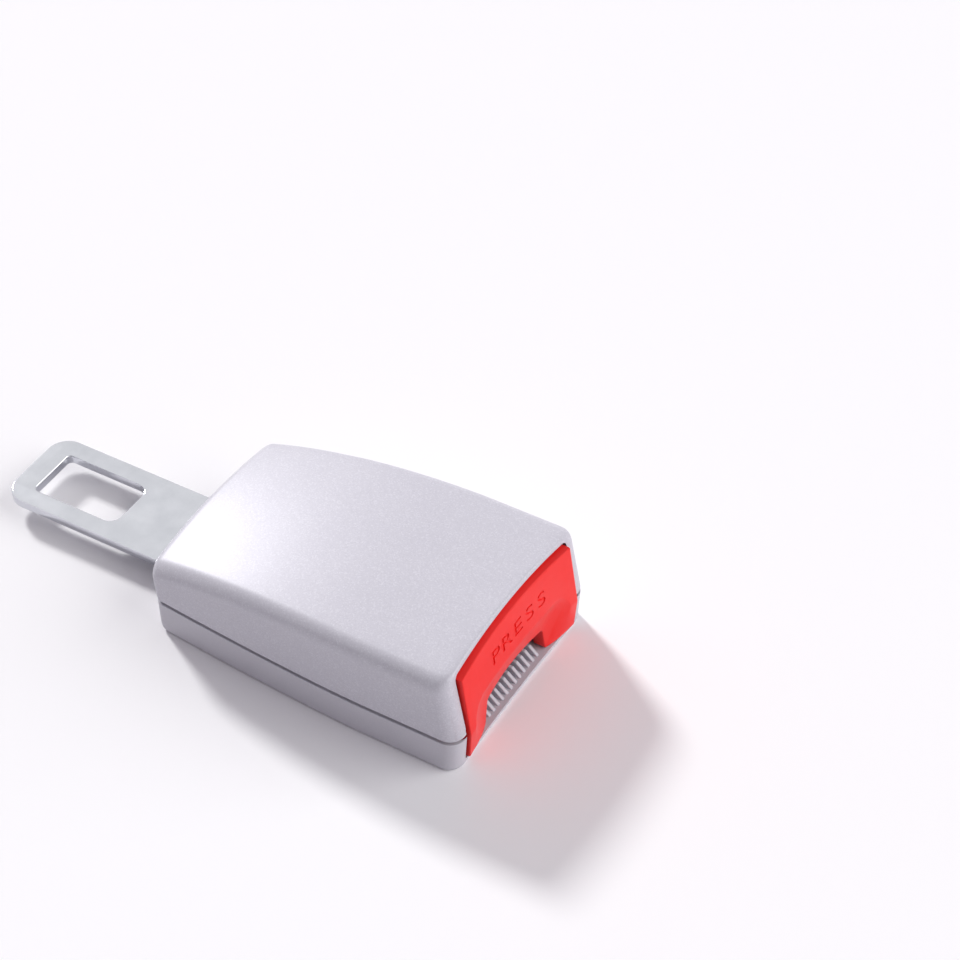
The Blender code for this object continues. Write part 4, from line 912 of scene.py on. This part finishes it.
def makeSpringTree():
    tree, start, end = startTree("compressionSpring", {
        "Turns": "NodeSocketFloat", "Coil Radius": "NodeSocketFloat", "Wire Radius": "NodeSocketFloat",
        "Length": "NodeSocketFloat", "Steps": "NodeSocketInt", "Material": "NodeSocketMaterial"})
    line = addNode(tree, "GeometryNodeCurvePrimitiveLine")
    points = addNode(tree, "GeometryNodeResampleCurve", links={
        "Curve": line.outputs[0], "Count": start.outputs["Steps"]})
    sums = {key: start.outputs[key] for key in ("Turns", "Coil Radius", "Wire Radius", "Length")}
    sums["factor"] = addNode(tree, "GeometryNodeSplineParameter").outputs["Factor"]
    # each line is a result, its operation and what goes in
    for key, operation, *terms in (
            ("turn", "MULTIPLY", "factor", "Turns"), ("angle", "MULTIPLY", "turn", math.tau),
            ("cosine", "COSINE", "angle"), ("sine", "SINE", "angle"),
            ("x", "MULTIPLY", "cosine", "Coil Radius"), ("y", "MULTIPLY", "sine", "Coil Radius"),
            ("wire", "MULTIPLY", "Wire Radius", 2.0), ("closed", "MULTIPLY", "turn", "wire"),
            ("layers", "ADD", "Turns", 1.0), ("solid", "MULTIPLY", "layers", "wire"),
            ("room", "SUBTRACT", "Length", "solid"), ("active", "SUBTRACT", "Turns", 2.0),
            ("past", "SUBTRACT", "turn", 1.0), ("ratio", "DIVIDE", "past", "active"),
            ("above", "MAXIMUM", "ratio", 0.0), ("share", "MINIMUM", "above", 1.0),
            ("lift", "MULTIPLY", "share", "room"), ("raised", "ADD", "closed", "lift"),
            ("z", "ADD", "raised", "Wire Radius")):
        values = {i: term for i, term in enumerate(terms) if not isinstance(term, str)}
        links = {i: sums[term] for i, term in enumerate(terms) if isinstance(term, str)}
        sums[key] = addNode(tree, "ShaderNodeMath", {"operation": operation}, values, links).outputs[0]
    place = addNode(tree, "ShaderNodeCombineXYZ", links={"X": sums["x"], "Y": sums["y"], "Z": sums["z"]})
    bent = addNode(tree, "GeometryNodeSetPosition", links={
        "Geometry": points.outputs[0], "Position": place.outputs[0]})
    section = addNode(tree, "GeometryNodeCurvePrimitiveCircle", values={"Resolution": 10},
                      links={"Radius": start.outputs["Wire Radius"]})
    wire = addNode(tree, "GeometryNodeCurveToMesh", values={"Fill Caps": True},
                   links={"Curve": bent.outputs[0], "Profile Curve": section.outputs["Curve"]})
    return endTree(tree, start, end, wire.outputs[0])


def makeSpring(tree, node):
    s = springs[node]
    parts = node.split("_")
    name = parts[0] + "Coil" + "".join(part.title() for part in parts[2:])
    item = linkObject(name, bpy.data.meshes.new(node))
    runTree(item, tree, {
        "Turns": s["turns"], "Coil Radius": s["outer"] - s["wire"] / 2, "Wire Radius": s["wire"] / 2,
        "Length": s["length"], "Steps": int(s["turns"] * 28), "Material": materials["spring_steel"]}, 60)
    upright = Matrix.Identity(4) if s["axis"] == "Z" else Matrix.Rotation(math.pi / 2, 4, "Y")
    item.data.transform(rowPlace @ Matrix.Translation(s["start"]) @ upright)
    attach(item, "housing")
    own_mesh(item)
    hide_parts(node)


# Thread-forming screw: pan head with a cross recess, and a helical ridge on the shank
def makeScrews():
    s = screws
    under = s["recess"] - s["gap"]
    face = under - s["headHeight"]
    tip = face + s["length"]
    bm = bmesh.new()
    core = s["shank"] * s["core"]
    outline = [(s["head"] * math.sin(a), face + s["headCrown"] * (1 - math.cos(a)))
               for a in (math.radians(angle) for angle in (0, 30, 60, 90))]
    outline += [(s["head"], under), (core, under), (core, tip - s["point"]), (0, tip)]
    addTurned(bm, outline, (0, 0, 0), 28)
    body = meshToObject("screwBody", bm, "zinc_plated_steel")
    bm = bmesh.new()
    reach, wide = s["crossReach"], s["crossWidth"] / 2
    cross = [(reach, -wide), (reach, wide), (wide, wide), (wide, reach), (-wide, reach), (-wide, wide),
             (-reach, wide), (-reach, -wide), (-wide, -wide), (-wide, -reach), (wide, -reach), (wide, -wide)]
    addPrism(bm, cross, "Z", face - s["crossStart"], face + s["crossDepth"])
    cutWith(body, meshToObject("crossCutter", bm, "zinc_plated_steel"))

    tree, start, end = startTree("screwThread", {
        "Pitch": "NodeSocketFloat", "Radius": "NodeSocketFloat", "Length": "NodeSocketFloat",
        "Ridge": "NodeSocketFloat", "Material": "NodeSocketMaterial"})
    count = addNode(tree, "ShaderNodeMath", {"operation": "DIVIDE"},
                    links={0: start.outputs["Length"], 1: start.outputs["Pitch"]})
    helix = addNode(tree, "GeometryNodeCurveSpiral", values={"Resolution": 20}, links={
        "Rotations": count.outputs[0], "Start Radius": start.outputs["Radius"],
        "End Radius": start.outputs["Radius"], "Height": start.outputs["Length"]})
    section = addNode(tree, "GeometryNodeCurvePrimitiveCircle", values={"Resolution": 4},
                      links={"Radius": start.outputs["Ridge"]})
    ridge = addNode(tree, "GeometryNodeCurveToMesh", values={"Fill Caps": True},
                    links={"Curve": helix.outputs[0], "Profile Curve": section.outputs["Curve"]})
    endTree(tree, start, end, ridge.outputs[0])
    thread = linkObject("screwThread", bpy.data.meshes.new("screwThread"))
    runTree(thread, tree, {
        "Pitch": s["pitch"], "Radius": core, "Length": tip - under - s["threadShort"], "Ridge": s["ridge"],
        "Material": materials["zinc_plated_steel"]})
    thread.data.transform(rowPlace @ Matrix.Translation((0, 0, under + s["threadStart"])))
    screw = joinInto(body, [thread])
    return copyTo("casingScrews", screw, [(x, y, 0) for x, y in screwPlaces], "zinc_plated_steel")


rivets = {
    "radius": 2.4, "flare": 1.5, "head": 4.0, "headHeight": 1.3, "bottom": 1.3, "seat": 6.1, "flareTop": 2.6,
}


# Rivets with a domed head on the tongue and a tail spread into the frame
def makeRivets():
    r = rivets
    dome = [(r["head"] * math.cos(math.radians(a)), r["seat"] + r["headHeight"] * math.sin(math.radians(a)))
            for a in range(0, 90, 10)]
    outline = [(0, r["bottom"]), (r["radius"] + r["flare"], r["bottom"]), (r["radius"], r["flareTop"]),
               (r["radius"], r["seat"])] + dome + [(0, r["seat"] + r["headHeight"])]
    bm = bmesh.new()
    addTurned(bm, outline, (0, 0, 0), 40)
    rivet = meshToObject("rivet", bm, "zinc_plated_steel")
    return copyTo("tongueRivets", rivet, [(x, 0, 0) for x in rivetPlaces], "zinc_plated_steel")


# A hidden piece keeps its solid's shape and gets rolled edges, as stamped or moulded pieces have
def roundedNode(node, name, width):
    bm = bmesh.new()
    bm.from_mesh(frame["nodes"][node].data)
    bmesh.ops.remove_doubles(bm, verts=bm.verts, dist=0.000002)
    bmesh.ops.dissolve_limit(bm, angle_limit=math.radians(1), verts=bm.verts, edges=bm.edges)
    mesh = bpy.data.meshes.new(name)
    bm.to_mesh(mesh)
    bm.free()
    mesh.materials.append(materials[finishes[node]])
    return roundEdges(linkObject(name, mesh), width)


def ridePiece(item, body, nodes):
    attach(item, body)
    if nodes:
        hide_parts(*nodes)


finishes = {entry["node"]: entry["material_slot"] for entry in frame["record"]["subparts"]}
ridePiece(makeCover(), "housing", ["upper_casing"])
print("cover made")
ridePiece(makeComb(), "housing", [])
ridePiece(makeTray(), "housing", ["lower_casing"])
print("tray and comb made")
ridePiece(makeTongue(), "housing", ["tongue_plate"])
ridePiece(makeRivets(), "housing", ["tongue_rivet_front", "tongue_rivet_rear"])
print("tongue and rivets made")
ridePiece(makeButton(), "button", ["release_button"])
print("button made")
screwNodes = [node for node in finishes if node.startswith("casing_screw")]
ridePiece(makeScrews(), "housing", screwNodes)
springTree = makeSpringTree()
for node in springs:
    makeSpring(springTree, node)
print("screws and springs made")

insides = {
    "buckle_frame": ("stampedFrame", "housing", 0.15), "spring_bridge": ("springBridge", "housing", 0.12),
    "latch": ("hardLatch", "latch", 0.12), "ejector": ("ejectorSlide", "ejector", 0.2),
}
for node, (name, body, width) in insides.items():
    ridePiece(roundedNode(node, name, width), body, [node])
print("inner pieces rounded:", len(insides))

# What is left keeps its solid and gets its real finish
for name, node in frame["nodes"].items():
    node.data.materials.clear()
    node.data.materials.append(materials[finishes[name]])


# A key from behind on the left, a broad fill from the right and a dim room
studio = {
    "floor": "FCFBFC", "floorSize": 3.0, "room": 0.29, "roomTint": (0.98, 0.92, 1.03),
    "keyStrength": 2.45, "keyFrom": (-1.43, 0.73, 1.0), "keyAngle": 9.0,
    "fillStrength": 1.9, "fillFrom": (0.85, 0.3, 0.55), "fillAngle": 60.0,
    "seenWhite": 1.0, "seenDim": 0.3, "dimFrom": 0.45, "dimTo": 0.8,
}
view = {
    "place": (227.3, -307.47, 405.95), "azimuth": 32.71, "elevation": 43.7, "roll": -2.18, "lens": 98.246,
}


def makeFloor():
    size = studio["floorSize"] / 2
    mesh = bpy.data.meshes.new("floor")
    corners = [(-size, -size, 0), (size, -size, 0), (size, size, 0), (-size, size, 0)]
    mesh.from_pydata(corners, [], [(0, 1, 2, 3)])
    mesh.materials.append(startMaterial("paperSweep", {
        "Base Color": hexColour(studio["floor"]), "Roughness": 0.9, "Specular IOR Level": 0.1})[0])
    linkObject("floor", mesh)


# A dim room for light and a white one for the eye.
# Metal sees it white too, apart from the photographer's side.
def makeWorld():
    world = bpy.data.worlds.new("studio")
    bpy.context.scene.world = world
    world.use_nodes = True
    tree = world.node_tree
    tree.nodes.clear()
    rays = addNode(tree, "ShaderNodeLightPath")
    toFront = math.radians(view["azimuth"])
    direction = addNode(tree, "ShaderNodeTexCoord").outputs["Generated"]
    towards = addNode(tree, "ShaderNodeVectorMath", {"operation": "DOT_PRODUCT"},
                      {1: (math.sin(toFront), -math.cos(toFront), 0.0)}, {0: direction})
    dim = addNode(tree, "ShaderNodeMapRange", {"interpolation_type": "SMOOTHSTEP"}, {
        "From Min": studio["dimFrom"], "From Max": studio["dimTo"], "To Min": studio["seenWhite"],
        "To Max": studio["seenDim"]}, {"Value": towards.outputs["Value"]})
    seen = addNode(tree, "ShaderNodeMath", {"operation": "MAXIMUM"},
                   links={0: rays.outputs["Is Glossy Ray"], 1: rays.outputs["Is Transmission Ray"]})
    room = addNode(tree, "ShaderNodeBackground", values={
        "Color": studio["roomTint"] + (1.0,), "Strength": studio["room"]})
    mirror = addNode(tree, "ShaderNodeBackground", values={"Color": (1.0, 1.0, 1.0, 1.0)},
                     links={"Strength": dim.outputs["Result"]})
    white = addNode(tree, "ShaderNodeBackground", values={
        "Color": (1.0, 1.0, 1.0, 1.0), "Strength": studio["seenWhite"]})
    bounced = addNode(tree, "ShaderNodeMixShader",
                      links={0: seen.outputs[0], 1: room.outputs[0], 2: mirror.outputs[0]})
    shown = addNode(tree, "ShaderNodeMixShader",
                    links={0: rays.outputs["Is Camera Ray"], 1: bounced.outputs[0], 2: white.outputs[0]})
    addNode(tree, "ShaderNodeOutputWorld", links={"Surface": shown.outputs[0]})


def makeSun(name):
    lamp = bpy.data.lights.new(name, "SUN")
    lamp.energy = studio[name + "Strength"]
    lamp.angle = math.radians(studio[name + "Angle"])
    item = bpy.data.objects.new(name, lamp)
    item.rotation_euler = Vector(studio[name + "From"]).to_track_quat("Z", "Y").to_euler()
    bpy.context.scene.collection.objects.link(item)


def makeCamera():
    a, e, r = (math.radians(view[key]) for key in ("azimuth", "elevation", "roll"))
    back = Vector((math.sin(a) * math.cos(e), -math.cos(a) * math.cos(e), math.sin(e)))
    right = Vector((math.cos(a), math.sin(a), 0))
    up = back.cross(right)
    side = right * math.cos(r) + up * math.sin(r)
    top = up * math.cos(r) - right * math.sin(r)
    camera = bpy.data.cameras.new("photoView")
    camera.lens = view["lens"]
    camera.sensor_width = 36.0
    item = bpy.data.objects.new("photoView", camera)
    matrix = Matrix((side, top, back)).transposed().to_4x4()
    matrix.translation = rowPlace @ Vector(view["place"])
    item.matrix_world = matrix
    bpy.context.scene.collection.objects.link(item)
    bpy.context.scene.camera = item


makeFloor()
makeWorld()
makeSun("key")
makeSun("fill")
makeCamera()
bpy.context.scene.view_settings.view_transform = "Standard"
print("studio and camera set")
